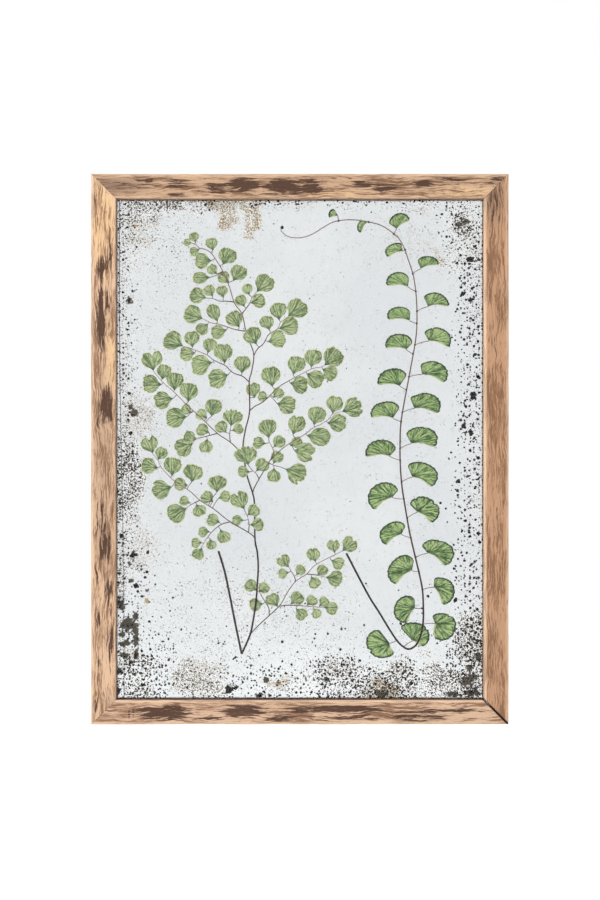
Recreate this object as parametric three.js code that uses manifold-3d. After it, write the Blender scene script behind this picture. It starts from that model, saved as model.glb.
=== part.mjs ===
// A pressed fern frame: two maidenhair fern fronds laid on an antiqued mirror, behind glass,
// in a narrow mitred frame of reclaimed wood.
// Millimetres, +Z up, X to the right, the front faces -Y.
// The origin is the hanging point: the middle of the hanger, in the plane of the rails' backs.

import * as THREE from "three";
import { mergeVertices } from "three/addons/utils/BufferGeometryUtils.js";
import Module from "manifold-3d";

const wasm = await Module();
wasm.setup();

// Driving dimensions of the frame
const FRAME_WIDTH = 305;
const FRAME_HEIGHT = 402;
const FRAME_DEPTH = 22;
const RAIL_FACE = 18.6;
const RABBET_WIDTH = 6;
const LIP_DEPTH = 6;
const OUTER_ARRIS = 2.6;
const INNER_ARRIS = 1.2;
const HANG_DROP = 8;

// Driving dimensions of what the frame holds
const GLASS_THICKNESS = 2;
const SPECIMEN_GAP = 1.5;
const MIRROR_THICKNESS = 3;
const BOARD_THICKNESS = 3;
const SHEET_CLEARANCE = 0.5;

// Places that follow from them
const FRAME_TOP = HANG_DROP;
const FRAME_BOTTOM = FRAME_TOP - FRAME_HEIGHT;
const FRAME_MIDDLE = (FRAME_TOP + FRAME_BOTTOM) / 2;
const OPENING_WIDTH = FRAME_WIDTH - 2 * RAIL_FACE;
const OPENING_HEIGHT = FRAME_HEIGHT - 2 * RAIL_FACE;
const SHEET_WIDTH = OPENING_WIDTH + 2 * (RABBET_WIDTH - SHEET_CLEARANCE);
const SHEET_HEIGHT = OPENING_HEIGHT + 2 * (RABBET_WIDTH - SHEET_CLEARANCE);
const LIP_BACK = -FRAME_DEPTH + LIP_DEPTH;
const MIRROR_FRONT = LIP_BACK + GLASS_THICKNESS + SPECIMEN_GAP;
const MIRROR_BACK = MIRROR_FRONT + MIRROR_THICKNESS;
const BOARD_BACK = MIRROR_BACK + BOARD_THICKNESS;

// Heights of the pressed layers in front of the mirror. Side branches and leaflets lie on the
// mirror, main stems lie over them, and a few leaflets lie over a main stem.
const LEAF_THICKNESS = 0.3;
const BRANCH_THICKNESS = 0.6;
const MAIN_STEM_FRONT = 1.2;

// Widths of stems and stalks
const STALK_WIDTH = 0.5;
const BRANCH_WIDTH = [0.8, 0.5];
const LEFT_STEM_WIDTH = [0.6, 1.7];
const FOLDED_STIPE_WIDTH = [1.7, 1.8];
const RIGHT_STEM_WIDTH = [0.5, 1.6];

const materials = {
  wood: new THREE.MeshStandardMaterial({ color: 0xab8768, roughness: 0.8 }),
  glass: new THREE.MeshStandardMaterial({
    color: 0xf2f7f5, roughness: 0.02, transparent: true, opacity: 0.15,
  }),
  mirror: new THREE.MeshStandardMaterial({ color: 0xdfe6ea, roughness: 0.12, metalness: 0.9 }),
  board: new THREE.MeshStandardMaterial({ color: 0x8a6642, roughness: 0.9 }),
  steel: new THREE.MeshStandardMaterial({ color: 0xa9abad, roughness: 0.4, metalness: 1 }),
  brass: new THREE.MeshStandardMaterial({ color: 0xb9934c, roughness: 0.4, metalness: 1 }),
  leftLeaf: new THREE.MeshStandardMaterial({ color: 0x86a267, roughness: 0.85 }),
  rightLeaf: new THREE.MeshStandardMaterial({ color: 0x6d9950, roughness: 0.85 }),
  stem: new THREE.MeshStandardMaterial({ color: 0x33241d, roughness: 0.6 }),
};

// The left frond's points are [u, v]: mm right of, and above, the lower left corner of the
// visible mirror. A leaflet is [u, v, length, heading], from its base, heading in degrees, with
// a width after them where it is not about as wide as it is long.
const LEFT_STEM = [
  [54.5, 333.5], [58, 332], [60.5, 329.5], [64, 329], [69, 326], [73.5, 319.5], [76.8, 314],
  [82, 302], [86, 289.5], [91.5, 281.5], [94.3, 269], [97.3, 260.8], [100.2, 251], [98.5, 239],
  [96.8, 231.5], [97.1, 210.5], [94, 196.5], [92.3, 184.5], [93.6, 172], [95.5, 162],
  [99.3, 150.3], [100.7, 141.5], [101, 117], [102.7, 107], [103.4, 96.5], [102.8, 84],
  [101.7, 70], [99.7, 57], [97.4, 46.4], [91.3, 32.4],
];
const FOLDED_STIPE = [[91.3, 32.4], [86.7, 54.4], [79.5, 90], [74.3, 107.8]];
const LEFT_STEM_LEAFLETS = [
  [54.5, 333.5, 6, 175], [57.5, 334, 7.8, 107], [60.2, 328.8, 7.5, 205], [70.2, 328, 9.5, 100],
  [69.2, 320.5, 12.5, 182], [77.6, 317.8, 13, 65, 14], [73, 310.8, 8.5, 135],
  [68, 308.2, 13, 182, 9], [81.9, 304.2, 10, 135], [85.2, 305.8, 13, 60], [101, 220.2, 11.3, 105],
];

// Side branches of the left frond, from its tip down: stems, leaflets, and leaflets that lie
// over the main stem
const BRANCHES = [
  {
    name: "left_frond_branch_a",
    stems: [[[85.7, 290.2], [80, 290.8], [74.8, 290.8], [71, 292.5], [65.2, 293.2]]],
    leaflets: [[65.2, 293.2, 12.5, 165], [70, 294.5, 9, 120], [77.8, 293.5, 9, 100]],
  },
  {
    name: "left_frond_branch_b",
    stems: [[[91.5, 281.5], [93.2, 283.8], [97.2, 289.2], [98.8, 293.5], [102.5, 297.8]]],
    leaflets: [
      [93.2, 286.8, 9.6, 118, 9], [96.8, 295.5, 8.5, 110], [102.5, 297.8, 15, 50], [98, 289.5, 11, 15],
    ],
  },
  {
    name: "left_frond_branch_c",
    stems: [[
      [94.3, 269], [91, 269.2], [85, 270.5], [75, 273.8], [69, 275], [62.5, 278],
    ]],
    leaflets: [
      [89.5, 271.8, 13, 120], [73.5, 275.8, 14, 110, 10], [62.5, 278, 14.5, 158],
      [66.5, 274.2, 10, 225], [80.2, 269.8, 12, 193, 10.5],
    ],
  },
  {
    name: "left_frond_branch_d",
    stems: [[
      [100.2, 251], [103, 256], [107.5, 260], [110, 265], [112, 267], [118, 271], [119.5, 275],
      [125.5, 279.5],
    ]],
    leaflets: [
      [110.5, 261, 13.5, 15], [111.5, 269.8, 11, 105], [118.8, 270.8, 14.5, 12],
      [118.8, 277, 13, 97], [125.5, 279.5, 16, 45],
    ],
    overStem: [[102, 259.5, 13, 118, 14]],
  },
  {
    name: "left_frond_branch_e",
    stems: [[
      [96.8, 231.5], [92, 235.8], [86, 237.8], [82.5, 240.5], [79.5, 243.5], [71, 247.5],
      [66.5, 251], [58.5, 254.5], [48, 258],
    ]],
    leaflets: [
      [91.5, 238, 13, 89], [81.2, 236.8, 15, 197], [78.8, 245.5, 14.5, 95],
      [69.5, 245.8, 15.5, 188], [66.5, 252.8, 11.3, 80, 10.4], [57, 252.8, 11.5, 185],
      [55.2, 257.2, 12, 95], [48, 258, 15, 150],
    ],
  },
  {
    name: "left_frond_branch_f",
    stems: [[
      [97.1, 210.5], [101, 213.8], [107.5, 217.5], [118, 227.5], [125, 232], [142, 241],
      [148.5, 242.2], [152.3, 244],
    ]],
    leaflets: [
      [110.5, 219.5, 8, 160], [117.2, 215.8, 14, 350], [114.5, 220.2, 9, 45],
      [113.8, 228.2, 15, 98], [126.8, 230.8, 13.5, 352], [129, 237.2, 14, 75],
      [139, 237.8, 14, 330], [142.2, 242.5, 13.5, 82], [150.5, 241.2, 12, 332],
      [152.2, 244, 15.5, 45],
    ],
  },
  {
    name: "left_frond_branch_g",
    stems: [
      [
        [93.6, 172], [91.5, 178], [88.5, 182.2], [83, 187.5], [73.5, 194], [63, 204],
        [50.5, 215.5], [41.5, 224.5], [33, 232], [26.5, 239.8],
      ],
      [[73.5, 194], [66, 192], [58, 189.7], [55.5, 186.8]],
      [[83, 187.5], [82.5, 193], [83.4, 199]],
    ],
    leaflets: [
      [26.5, 240, 14, 99, 16], [33, 233.5, 11.5, 75], [32.5, 229.8, 14, 178],
      [42, 225.5, 13.5, 85], [40.8, 219.5, 14, 190], [52.2, 217.2, 14, 85], [54.5, 209, 8.5, 150],
      [51, 206.2, 15.5, 183], [65.8, 205.2, 9, 145], [69.2, 206.5, 13, 80],
      [67.5, 194.5, 10, 155], [58.2, 189.8, 10, 165], [55.5, 186.8, 14, 205],
      [66, 190, 10.5, 265], [83.4, 199.5, 12.5, 80, 15], [80, 194.5, 10, 130],
      [84.5, 196, 8.5, 20],
    ],
  },
  {
    name: "left_frond_branch_h",
    stems: [
      [
        [99.3, 150.3], [100.5, 154], [104, 160.5], [111, 172.5], [112.5, 174.5], [122.5, 184],
        [135.5, 192], [140, 195.2], [144.5, 198.5], [149, 200.5], [155.5, 204.8],
        [157.5, 208], [165.5, 210.2],
      ],
      [[112.5, 174.5], [114.7, 180], [114, 183], [111.5, 187.5]],
      [[111, 172.5], [114.6, 170.5]],
      [[104, 160.5], [102, 164.5], [99.5, 166.5]],
    ],
    leaflets: [
      [108.8, 186.5, 9.5, 172], [111.2, 190.5, 14, 99], [115, 184, 10, 48],
      [114.5, 172, 10, 61], [115, 168.5, 10.5, 268], [123.5, 167.8, 16, 338],
      [127.2, 184.8, 9.5, 30], [129.8, 181.5, 15.5, 348], [128.8, 193.2, 15, 72, 13],
      [139, 192.5, 18, 352, 14], [144.2, 200.2, 14, 75], [154.2, 201.5, 14, 0],
      [157.8, 208.8, 13, 78], [165, 210, 15.5, 20], [102.2, 166.5, 11, 48],
    ],
    overStem: [[96, 171, 14, 100, 17], [97.2, 165.8, 9, 180]],
  },
  {
    name: "left_frond_branch_i",
    stems: [
      [
        [101, 117], [97.7, 120.5], [81.7, 130], [71.7, 138], [60.7, 145], [53.5, 151.5],
        [42, 159], [32.5, 169], [30.2, 174], [26.2, 179],
      ],
      [[83.2, 129.2], [76.7, 127.5], [70.7, 123], [65.7, 117], [61.7, 110.5]],
      [[96.3, 121.3], [96.7, 127], [95.7, 133]],
      [[60.7, 145], [55.5, 142.5], [51, 139.6]],
    ],
    leaflets: [
      [26.2, 179.5, 13, 110], [30.2, 174.8, 10, 65], [29.8, 168.8, 12.5, 170],
      [40.2, 162.8, 14, 85], [40, 154.8, 15, 195], [51.5, 156.2, 10, 177],
      [54.8, 158.5, 13, 80, 15], [70.2, 144, 10, 142], [73.2, 151, 12.5, 90, 14],
      [74.5, 146.5, 9, 17], [53.2, 143, 8, 160], [50.7, 139.2, 15, 208], [58.2, 142, 9.5, 293, 10.5],
      [93.2, 138.5, 14, 116], [92.5, 130.3, 8.5, 178], [75.2, 128.8, 10, 160],
      [67.7, 122, 8.5, 180], [75.7, 123.5, 10.5, 292], [62.2, 114, 8, 182],
      [68.2, 116.5, 8, 280], [62.2, 110, 9.5, 238],
    ],
    overStem: [[95.8, 134.3, 9.8, 38], [97.8, 127, 10, 5]],
  },
  {
    name: "left_frond_small_spray",
    stems: [
      [
        [97.4, 46.8], [104.7, 54.4], [118.7, 67.4], [124.7, 77.4], [130.7, 85.4],
        [139.4, 91.4], [145.9, 98], [165.4, 108],
      ],
      [[111.5, 60.7], [111, 66.4], [106.7, 73.4], [104.7, 77.4], [102, 79]],
      [[130.4, 85.2], [130.2, 88.4], [126.2, 95.5]],
      [[118.7, 67.4], [127, 68.1], [151.9, 66.4]],
      [[138.9, 91], [146.4, 90.2], [153.4, 88.5]],
    ],
    leaflets: [
      [102, 79, 10, 141], [103.7, 77.9, 9, 38], [106.7, 69.2, 10, 190], [117.5, 67.2, 11, 122],
      [125.7, 96.2, 10.3, 128], [125.7, 92.2, 8, 190], [131.5, 90.3, 8.5, 52], [127.4, 69, 11, 43],
      [131.2, 65.5, 10, 314], [139.2, 68, 9, 48], [148.2, 67.4, 8.5, 42], [151.9, 66.6, 10, 350],
      [143.9, 65.8, 8, 305], [145.4, 100, 10.5, 104], [159.5, 106.6, 10, 100],
      [165.2, 108, 12.5, 41], [156.9, 101, 10, 336], [147, 90.4, 9, 48], [142.2, 89, 9.5, 299],
      [153, 88.6, 12.5, 350],
    ],
  },
];

// The right frond, from its coiled tip to its cut end
const RIGHT_STEM = [
  [120.9, 344.8], [119.8, 343], [121.5, 340.8], [124.5, 338.5], [128, 337.4], [133.4, 337.2],
  [139.4, 338.4], [145.5, 341.2], [152, 345.5], [158.5, 348.8], [165, 350.1], [173.4, 350.4],
  [183.4, 349], [192.4, 346.7], [199.4, 342.7], [206.4, 336.7], [210.2, 330], [213.2, 321.5],
  [216.6, 311], [218.6, 299.7], [219.6, 286], [219.5, 272], [218.3, 260], [213.4, 233],
  [208.2, 204], [207.3, 188], [207.4, 172], [208.7, 155], [211.2, 139], [214.8, 119],
  [221.4, 91], [223.7, 79], [224.3, 67], [224.2, 56], [222.3, 46], [219.4, 39.6],
  [216.4, 36.9], [213.4, 36], [210.4, 37.2], [205.8, 41.3], [199.8, 50], [191.8, 63.2],
  [183.9, 75.8], [167.9, 106.2],
];

// A pinna is [base u, base v, joint u, joint v, inner heading, tip heading, margin distances].
// Its blade fans out from the base between the two headings, its margin's distances from the
// base are at equal turns, and its stalk ends at the joint, on the stem.
const PINNAE = [
  [161.8, 353.2, 162.3, 349.6, 118, 192, [6, 7, 7.3, 7.2, 6.8]],
  [183.3, 348.8, 184.3, 348.8, 165, 240, [4.5, 6.5, 8.2, 9.6, 9.8]],
  [204.9, 343.9, 202.8, 339.8, 147, 33, [7.2, 9.2, 11.3, 12.7, 12.3]],
  [209.1, 327.5, 211, 328.5, 97, 203, [6, 7.4, 9.9, 12.9, 12.6]],
  [222.6, 314.6, 216.6, 311, 115, 12, [6.5, 8.6, 10.5, 13.3, 14.6]],
  [212.9, 301.4, 218.8, 298, 80, 178, [6.5, 10.5, 14, 16.4, 16.4]],
  [227.9, 286.9, 219.7, 283.5, 115, 0, [8.3, 9.9, 12.3, 14.6, 16.5]],
  [214.2, 276.6, 219.5, 274.5, 83, 178, [6.4, 10, 13.5, 17.1, 17]],
  [228.4, 261.7, 218.2, 258.8, 120, -19, [7.4, 9.3, 12.7, 16.3, 16.6]],
  [211.8, 255.4, 216.7, 252.2, 46, 177, [7, 10, 12.6, 16, 16.4]],
  [223.5, 237.1, 213.9, 235.5, 101, -21, [7.5, 10.1, 14.7, 19, 18.7]],
  [206.9, 228.8, 211.8, 226, 55, 178, [10, 12.4, 14.4, 16.7, 17.2]],
  [217.8, 212.3, 208.9, 209.3, 113, -13, [8.9, 10.2, 15.1, 19.8, 19]],
  [202, 205.1, 208.1, 202.7, 57, 179, [10, 12, 14, 16.8, 17.2]],
  [215.6, 186.5, 207.3, 183, 120, -9, [8.7, 11.2, 15, 19.9, 18.9]],
  [199.6, 177.2, 207.4, 174.3, 46, 182, [7.2, 10.4, 13.6, 17.6, 18.9]],
  [216.3, 162, 208.4, 158.5, 114, -28, [9.7, 11.5, 14.8, 19.1, 17.2]],
  [201.4, 147, 210.1, 146, 48, 216, [7.4, 10.4, 14.3, 18, 17]],
  [220, 136.3, 212.5, 132, 135, -39, [8.8, 11.3, 13.8, 16.7, 13.8]],
  [208.2, 120, 215.2, 117.5, 62, 216, [7.2, 9.9, 12.5, 16.2, 15]],
  [227.5, 106.2, 218.8, 103.3, 130, -37, [7.3, 9.5, 13.2, 19.8, 17.3]],
  [215.9, 93.4, 221.1, 92.7, 78, 221, [8.3, 13, 15.6, 18.3, 17]],
  [231.9, 81.3, 223.6, 79.5, 86, -64, [6.9, 9.5, 14.4, 16.6, 15.6]],
  [218.2, 66, 223.4, 65.8, 92, 243, [7.2, 11.9, 15, 16.2, 13.2]],
  [233, 54.6, 224.1, 54.2, 112, -96, [6.3, 9.1, 15.2, 15.4, 10.9]],
  [216.4, 42, 209.9, 37.7, 133, -35, [14.8, 13.9, 14.4, 12.7, 8.2]],
  [199.8, 40.2, 205, 42.4, 128, 297, [14.3, 17.8, 15.7, 11.2, 8.2]],
];

// The pinna that lies over its neighbour, counted from the tip
const LIFTED_PINNA = 24;

// A flat piece pressed in front of the mirror: an outline of [u, v] points, raised from one
// height above the mirror to another
function pressed(outline, from, to) {
  const shape = new THREE.Shape();
  const left = -OPENING_WIDTH / 2;
  const bottom = FRAME_BOTTOM + RAIL_FACE;
  outline.forEach(([u, v], i) => {
    if (i === 0) shape.moveTo(left + u, bottom + v);
    else shape.lineTo(left + u, bottom + v);
  });
  const geometry = new THREE.ExtrudeGeometry(shape, { depth: to - from, bevelEnabled: false });
  geometry.rotateX(Math.PI / 2);
  geometry.translate(0, MIRROR_FRONT - from, 0);
  return geometry;
}

// A closed geometry as a solid that can be joined or cut
function solid(geometry) {
  const bare = geometry.clone();
  bare.deleteAttribute("normal");
  bare.deleteAttribute("uv");
  const merged = mergeVertices(bare);
  return new wasm.Manifold(new wasm.Mesh({
    numProp: 3,
    vertProperties: Float32Array.from(merged.attributes.position.array),
    triVerts: Uint32Array.from(merged.index.array),
  }));
}

function geometryOf(body) {
  const mesh = body.getMesh();
  const geometry = new THREE.BufferGeometry();
  geometry.setAttribute("position", new THREE.BufferAttribute(mesh.vertProperties, 3));
  geometry.setIndex(new THREE.BufferAttribute(mesh.triVerts, 1));
  return geometry;
}

function joined(geometries) {
  return geometryOf(geometries.map(solid).reduce((whole, piece) => whole.add(piece)));
}

function along([u, v], heading, distance) {
  const angle = THREE.MathUtils.degToRad(heading);
  return [u + distance * Math.cos(angle), v + distance * Math.sin(angle)];
}

// A band along a path, whose width runs evenly from the first point to the last
function band(path, [startWidth, endWidth]) {
  const left = [];
  const right = [];
  path.forEach((point, i) => {
    const [u0, v0] = path[Math.max(i - 1, 0)];
    const [u1, v1] = path[Math.min(i + 1, path.length - 1)];
    const heading = THREE.MathUtils.radToDeg(Math.atan2(v1 - v0, u1 - u0));
    const width = startWidth + (endWidth - startWidth) * i / (path.length - 1);
    left.push(along(point, heading + 90, width / 2));
    right.push(along(point, heading - 90, width / 2));
  });
  return [...left, ...right.reverse()];
}

function nearestOn(paths, [u, v]) {
  const target = new THREE.Vector3(u, v, 0);
  const found = new THREE.Vector3();
  let best = new THREE.Vector3(Infinity, Infinity, 0);
  for (const path of paths) {
    for (let i = 1; i < path.length; i += 1) {
      const line = new THREE.Line3(
        new THREE.Vector3(...path[i - 1], 0), new THREE.Vector3(...path[i], 0),
      );
      line.closestPointToPoint(target, true, found);
      if (found.distanceTo(target) < best.distanceTo(target)) best = found.clone();
    }
  }
  return [best.x, best.y];
}

// A leaflet's outline: a rounded fan. Each pair is a share of the length and a share of the
// width to either side.
const LEAFLET_SIDES = [[-0.03, 0.05], [0.34, 0.42], [0.72, 0.49], [0.98, 0.22]];
const USUAL_WIDTH = 0.98;

function leafletOutline([u, v, length, heading, width = USUAL_WIDTH * length]) {
  const side = (turn) => LEAFLET_SIDES.map(([share, reach]) => (
    along(along([u, v], heading, share * length), heading + turn, reach * width)
  ));
  return [...side(-90), ...side(90).reverse()];
}

function headingFrom([u0, v0], [u1, v1]) {
  return THREE.MathUtils.radToDeg(Math.atan2(v1 - v0, u1 - u0));
}

// The strip of a stalk, which starts inside the blade
function stalkOutline([u, v, , heading], joint) {
  return band([along([u, v], heading, 2 * STALK_WIDTH), joint], [STALK_WIDTH, STALK_WIDTH]);
}

// A leaflet that lies on the mirror, with its short stalk from the nearest stem. A stalk that
// turns from its blade's heading by less than this many degrees shares one outline with it.
const SHARED_OUTLINE_TURN = 53;

function leaflet(row, paths) {
  const [u, v, , heading] = row;
  const joint = nearestOn(paths, [u, v]);
  const blade = leafletOutline(row);
  if (Math.hypot(u - joint[0], v - joint[1]) < STALK_WIDTH / 2) {
    return [pressed(blade, 0, LEAF_THICKNESS)];
  }
  const stalkHeading = headingFrom(joint, [u, v]);
  const turn = THREE.MathUtils.degToRad(stalkHeading - heading);
  if (Math.cos(turn) > Math.cos(THREE.MathUtils.degToRad(SHARED_OUTLINE_TURN))) {
    const stalk = [-90, 90].map((side) => along(joint, stalkHeading + side, STALK_WIDTH / 2));
    return [pressed([stalk[0], ...blade, stalk[1]], 0, LEAF_THICKNESS)];
  }
  return [
    pressed(blade, 0, LEAF_THICKNESS),
    pressed(stalkOutline(row, joint), 0, LEAF_THICKNESS),
  ];
}

// A leaflet whose stalk rises past the layer that its blade lies in
function risingLeaflet(row, paths, bladeFrom, stalkTo) {
  return [
    pressed(leafletOutline(row), bladeFrom, bladeFrom + LEAF_THICKNESS),
    pressed(stalkOutline(row, nearestOn(paths, row.slice(0, 2))), 0, stalkTo),
  ];
}

function branchGeometry({ stems, leaflets, overStem = [] }) {
  return joined([
    ...stems.map((path) => pressed(band(path, BRANCH_WIDTH), 0, BRANCH_THICKNESS)),
    ...leaflets.flatMap((row) => leaflet(row, stems)),
    ...overStem.flatMap((row) => (
      risingLeaflet(row, stems, MAIN_STEM_FRONT, MAIN_STEM_FRONT + LEAF_THICKNESS)
    )),
  ]);
}

function leftStemGeometry() {
  const onStem = (row) => risingLeaflet(row, [LEFT_STEM], 0, MAIN_STEM_FRONT);
  return joined([
    pressed(band(LEFT_STEM, LEFT_STEM_WIDTH), BRANCH_THICKNESS, MAIN_STEM_FRONT),
    pressed(band(FOLDED_STIPE, FOLDED_STIPE_WIDTH), BRANCH_THICKNESS, MAIN_STEM_FRONT),
    ...LEFT_STEM_LEAFLETS.flatMap(onStem),
  ]);
}

function rightStemGeometry() {
  return pressed(band(RIGHT_STEM, RIGHT_STEM_WIDTH), LEAF_THICKNESS, MAIN_STEM_FRONT);
}

// A half-moon blade: out along its inner edge, round the margin to the drooping tip, and back
// along a lower edge that is drawn up in the middle
const MARGIN_STEPS = 8;
const LOWER_EDGE_RISE = 0.1;

function pinnaOutline([u, v, jointU, jointV, innerHeading, tipHeading, distances]) {
  const base = [u, v];
  const joint = [jointU, jointV];
  const turn = tipHeading - innerHeading;
  const stalkHeading = headingFrom(joint, base);
  const innerSide = stalkHeading - Math.sign(turn) * 90;
  const lowerSide = stalkHeading + Math.sign(turn) * 90;
  const measured = distances.map((distance, i) => new THREE.Vector2(
    ...along(base, innerHeading + turn * i / (distances.length - 1), distance),
  ));
  const margin = new THREE.SplineCurve(measured).getPoints(MARGIN_STEPS);
  const tipLength = distances.at(-1);
  const middle = along(base, tipHeading, tipLength / 2);
  return [
    along(joint, innerSide, STALK_WIDTH / 2),
    along(base, innerSide, STALK_WIDTH / 2),
    ...margin.map((point) => point.toArray()),
    along(middle, tipHeading - Math.sign(turn) * 90, tipLength * LOWER_EDGE_RISE),
    along(base, lowerSide, STALK_WIDTH / 2),
    along(joint, lowerSide, STALK_WIDTH / 2),
  ];
}

// The rail's section. The first number runs from the frame's outer edge inward, the second
// from the wall to the front.
function railSection() {
  const arc = (centre, radius, start, end, steps) => (
    Array.from({ length: steps + 1 }, (_, i) => {
      const angle = THREE.MathUtils.degToRad(start + (end - start) * i / steps);
      return [centre[0] + radius * Math.cos(angle), centre[1] + radius * Math.sin(angle)];
    })
  );
  return [
    [0, 0],
    [RAIL_FACE - RABBET_WIDTH, 0],
    [RAIL_FACE - RABBET_WIDTH, -LIP_BACK],
    [RAIL_FACE, -LIP_BACK],
    ...arc([RAIL_FACE - INNER_ARRIS, FRAME_DEPTH - INNER_ARRIS], INNER_ARRIS, 0, 90, 3),
    ...arc([OUTER_ARRIS, FRAME_DEPTH - OUTER_ARRIS], OUTER_ARRIS, 90, 180, 4),
  ];
}

// One rail of the given length, mitred at both ends: the section is run along the rail, and its
// ends are then drawn in by as much as each point lies inward
function railGeometry(length, quarterTurns) {
  const shape = new THREE.Shape(railSection().map(([a, b]) => new THREE.Vector2(a, b)));
  const geometry = new THREE.ExtrudeGeometry(shape, { depth: length, bevelEnabled: false });
  const position = geometry.attributes.position;
  for (let i = 0; i < position.count; i += 1) {
    const inward = position.getX(i);
    const forward = position.getY(i);
    const atStart = position.getZ(i) < length / 2;
    const distance = atStart ? inward : length - inward;
    position.setXYZ(i, distance - length / 2, -forward, inward);
  }
  const across = quarterTurns % 2 === 0 ? FRAME_HEIGHT : FRAME_WIDTH;
  geometry.translate(0, 0, -across / 2);
  geometry.rotateY(quarterTurns * Math.PI / 2);
  geometry.translate(0, 0, FRAME_MIDDLE);
  geometry.deleteAttribute("normal");
  geometry.deleteAttribute("uv");
  return mergeVertices(geometry);
}

function sheet(thickness, back) {
  const geometry = new THREE.BoxGeometry(SHEET_WIDTH, thickness, SHEET_HEIGHT);
  geometry.translate(0, back - thickness / 2, FRAME_MIDDLE);
  return geometry;
}

// A framer's point: a thin flat tab that stands in the rabbet wall and holds the board down
const POINT_LENGTH = 12;
const POINT_SHOULDER = 7.2;
const POINT_WIDTH = 9;
const POINT_TIP_WIDTH = 3;
const POINT_THICKNESS = 0.8;

function framerPoint() {
  const shape = new THREE.Shape([
    new THREE.Vector2(0, -POINT_WIDTH / 2),
    new THREE.Vector2(POINT_SHOULDER, -POINT_WIDTH / 2),
    new THREE.Vector2(POINT_LENGTH, -POINT_TIP_WIDTH / 2),
    new THREE.Vector2(POINT_LENGTH, POINT_TIP_WIDTH / 2),
    new THREE.Vector2(POINT_SHOULDER, POINT_WIDTH / 2),
    new THREE.Vector2(0, POINT_WIDTH / 2),
  ]);
  const geometry = new THREE.ExtrudeGeometry(shape, {
    depth: POINT_THICKNESS, bevelEnabled: false,
  });
  geometry.rotateX(Math.PI / 2);
  geometry.translate(0, POINT_THICKNESS, 0);
  return geometry;
}

// Where each point stands: distances from the frame's middle, and the quarter turn that faces
// it inward
function framerPlaces() {
  const side = OPENING_WIDTH / 2 + RABBET_WIDTH;
  const end = OPENING_HEIGHT / 2 + RABBET_WIDTH;
  const places = [];
  for (const sign of [-1, 1]) {
    places.push({ x: -side, z: sign * OPENING_HEIGHT / 4, turns: 0 });
    places.push({ x: side, z: sign * OPENING_HEIGHT / 4, turns: 2 });
    places.push({ x: sign * OPENING_WIDTH / 4, z: -end, turns: 3 });
    places.push({ x: sign * OPENING_WIDTH / 4, z: end, turns: 1 });
  }
  return places;
}

// The sawtooth hanger: a strip whose middle stands off the rail, with teeth along its lower
// edge and a nail hole in each end
const HANGER_LENGTH = 44;
const HANGER_HEIGHT = 7.4;
const HANGER_THICKNESS = 0.8;
const HANGER_STAND_OFF = 1.6;
const HANGER_TAB = 6.5;
const HANGER_RAMP = 2;
const TOOTH_HEIGHT = 1.2;
const TOOTH_COUNT = 9;
const NAIL_HEAD_RADIUS = 1.8;
const NAIL_CROWN_RADIUS = 1.4;
const NAIL_HEAD_THICKNESS = 0.8;
const NAIL_SHANK_RADIUS = 0.7;
const NAIL_HOLE_RADIUS = 1;
const NAIL_SIDES = 8;

function nailPlaces() {
  const side = HANGER_LENGTH / 2 - HANGER_TAB / 2;
  const height = HANGER_HEIGHT / 2 - TOOTH_HEIGHT;
  return [-side, side].map((x) => [x, height]);
}

function hangerGeometry() {
  const half = HANGER_LENGTH / 2;
  const ramp = half - HANGER_TAB;
  const crown = ramp - HANGER_RAMP;
  const inner = [
    [-half, 0], [-ramp, 0], [-crown, HANGER_STAND_OFF], [crown, HANGER_STAND_OFF], [ramp, 0],
    [half, 0],
  ];
  const outer = inner.map(([x, y]) => [x, y + HANGER_THICKNESS]).reverse();
  const shape = new THREE.Shape([...inner, ...outer].map(([x, y]) => new THREE.Vector2(x, y)));
  const strip = new THREE.ExtrudeGeometry(shape, { depth: HANGER_HEIGHT, bevelEnabled: false });
  strip.translate(0, 0, -TOOTH_HEIGHT);
  const reach = HANGER_STAND_OFF + 3 * HANGER_THICKNESS;
  const pitch = 2 * crown / TOOTH_COUNT;
  let body = solid(strip);
  for (let i = 0; i < TOOTH_COUNT; i += 1) {
    const middle = -crown + (i + 0.5) * pitch;
    const notch = new THREE.Shape([
      new THREE.Vector2(middle - 0.5 * pitch, -1.1 * TOOTH_HEIGHT),
      new THREE.Vector2(middle + 0.5 * pitch, -1.1 * TOOTH_HEIGHT),
      new THREE.Vector2(middle, 0),
    ]);
    const cutter = new THREE.ExtrudeGeometry(notch, { depth: reach, bevelEnabled: false });
    cutter.rotateX(Math.PI / 2);
    cutter.translate(0, reach - HANGER_THICKNESS, 0);
    body = body.subtract(solid(cutter));
  }
  for (const [x, z] of nailPlaces()) {
    const hole = new THREE.CylinderGeometry(
      NAIL_HOLE_RADIUS, NAIL_HOLE_RADIUS, 4 * HANGER_THICKNESS, NAIL_SIDES,
    );
    hole.translate(x, 0, z);
    body = body.subtract(solid(hole));
  }
  return geometryOf(body);
}

function nailGeometry() {
  const top = HANGER_THICKNESS + NAIL_HEAD_THICKNESS;
  return new THREE.LatheGeometry([
    new THREE.Vector2(0, 0),
    new THREE.Vector2(NAIL_SHANK_RADIUS, 0),
    new THREE.Vector2(NAIL_SHANK_RADIUS, HANGER_THICKNESS),
    new THREE.Vector2(NAIL_HEAD_RADIUS, HANGER_THICKNESS),
    new THREE.Vector2(NAIL_CROWN_RADIUS, top),
    new THREE.Vector2(0, top),
  ], NAIL_SIDES);
}

const frame = new THREE.Group();

function add(name, geometry, material) {
  const mesh = new THREE.Mesh(geometry, material);
  mesh.name = name;
  frame.add(mesh);
  return mesh;
}

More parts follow.
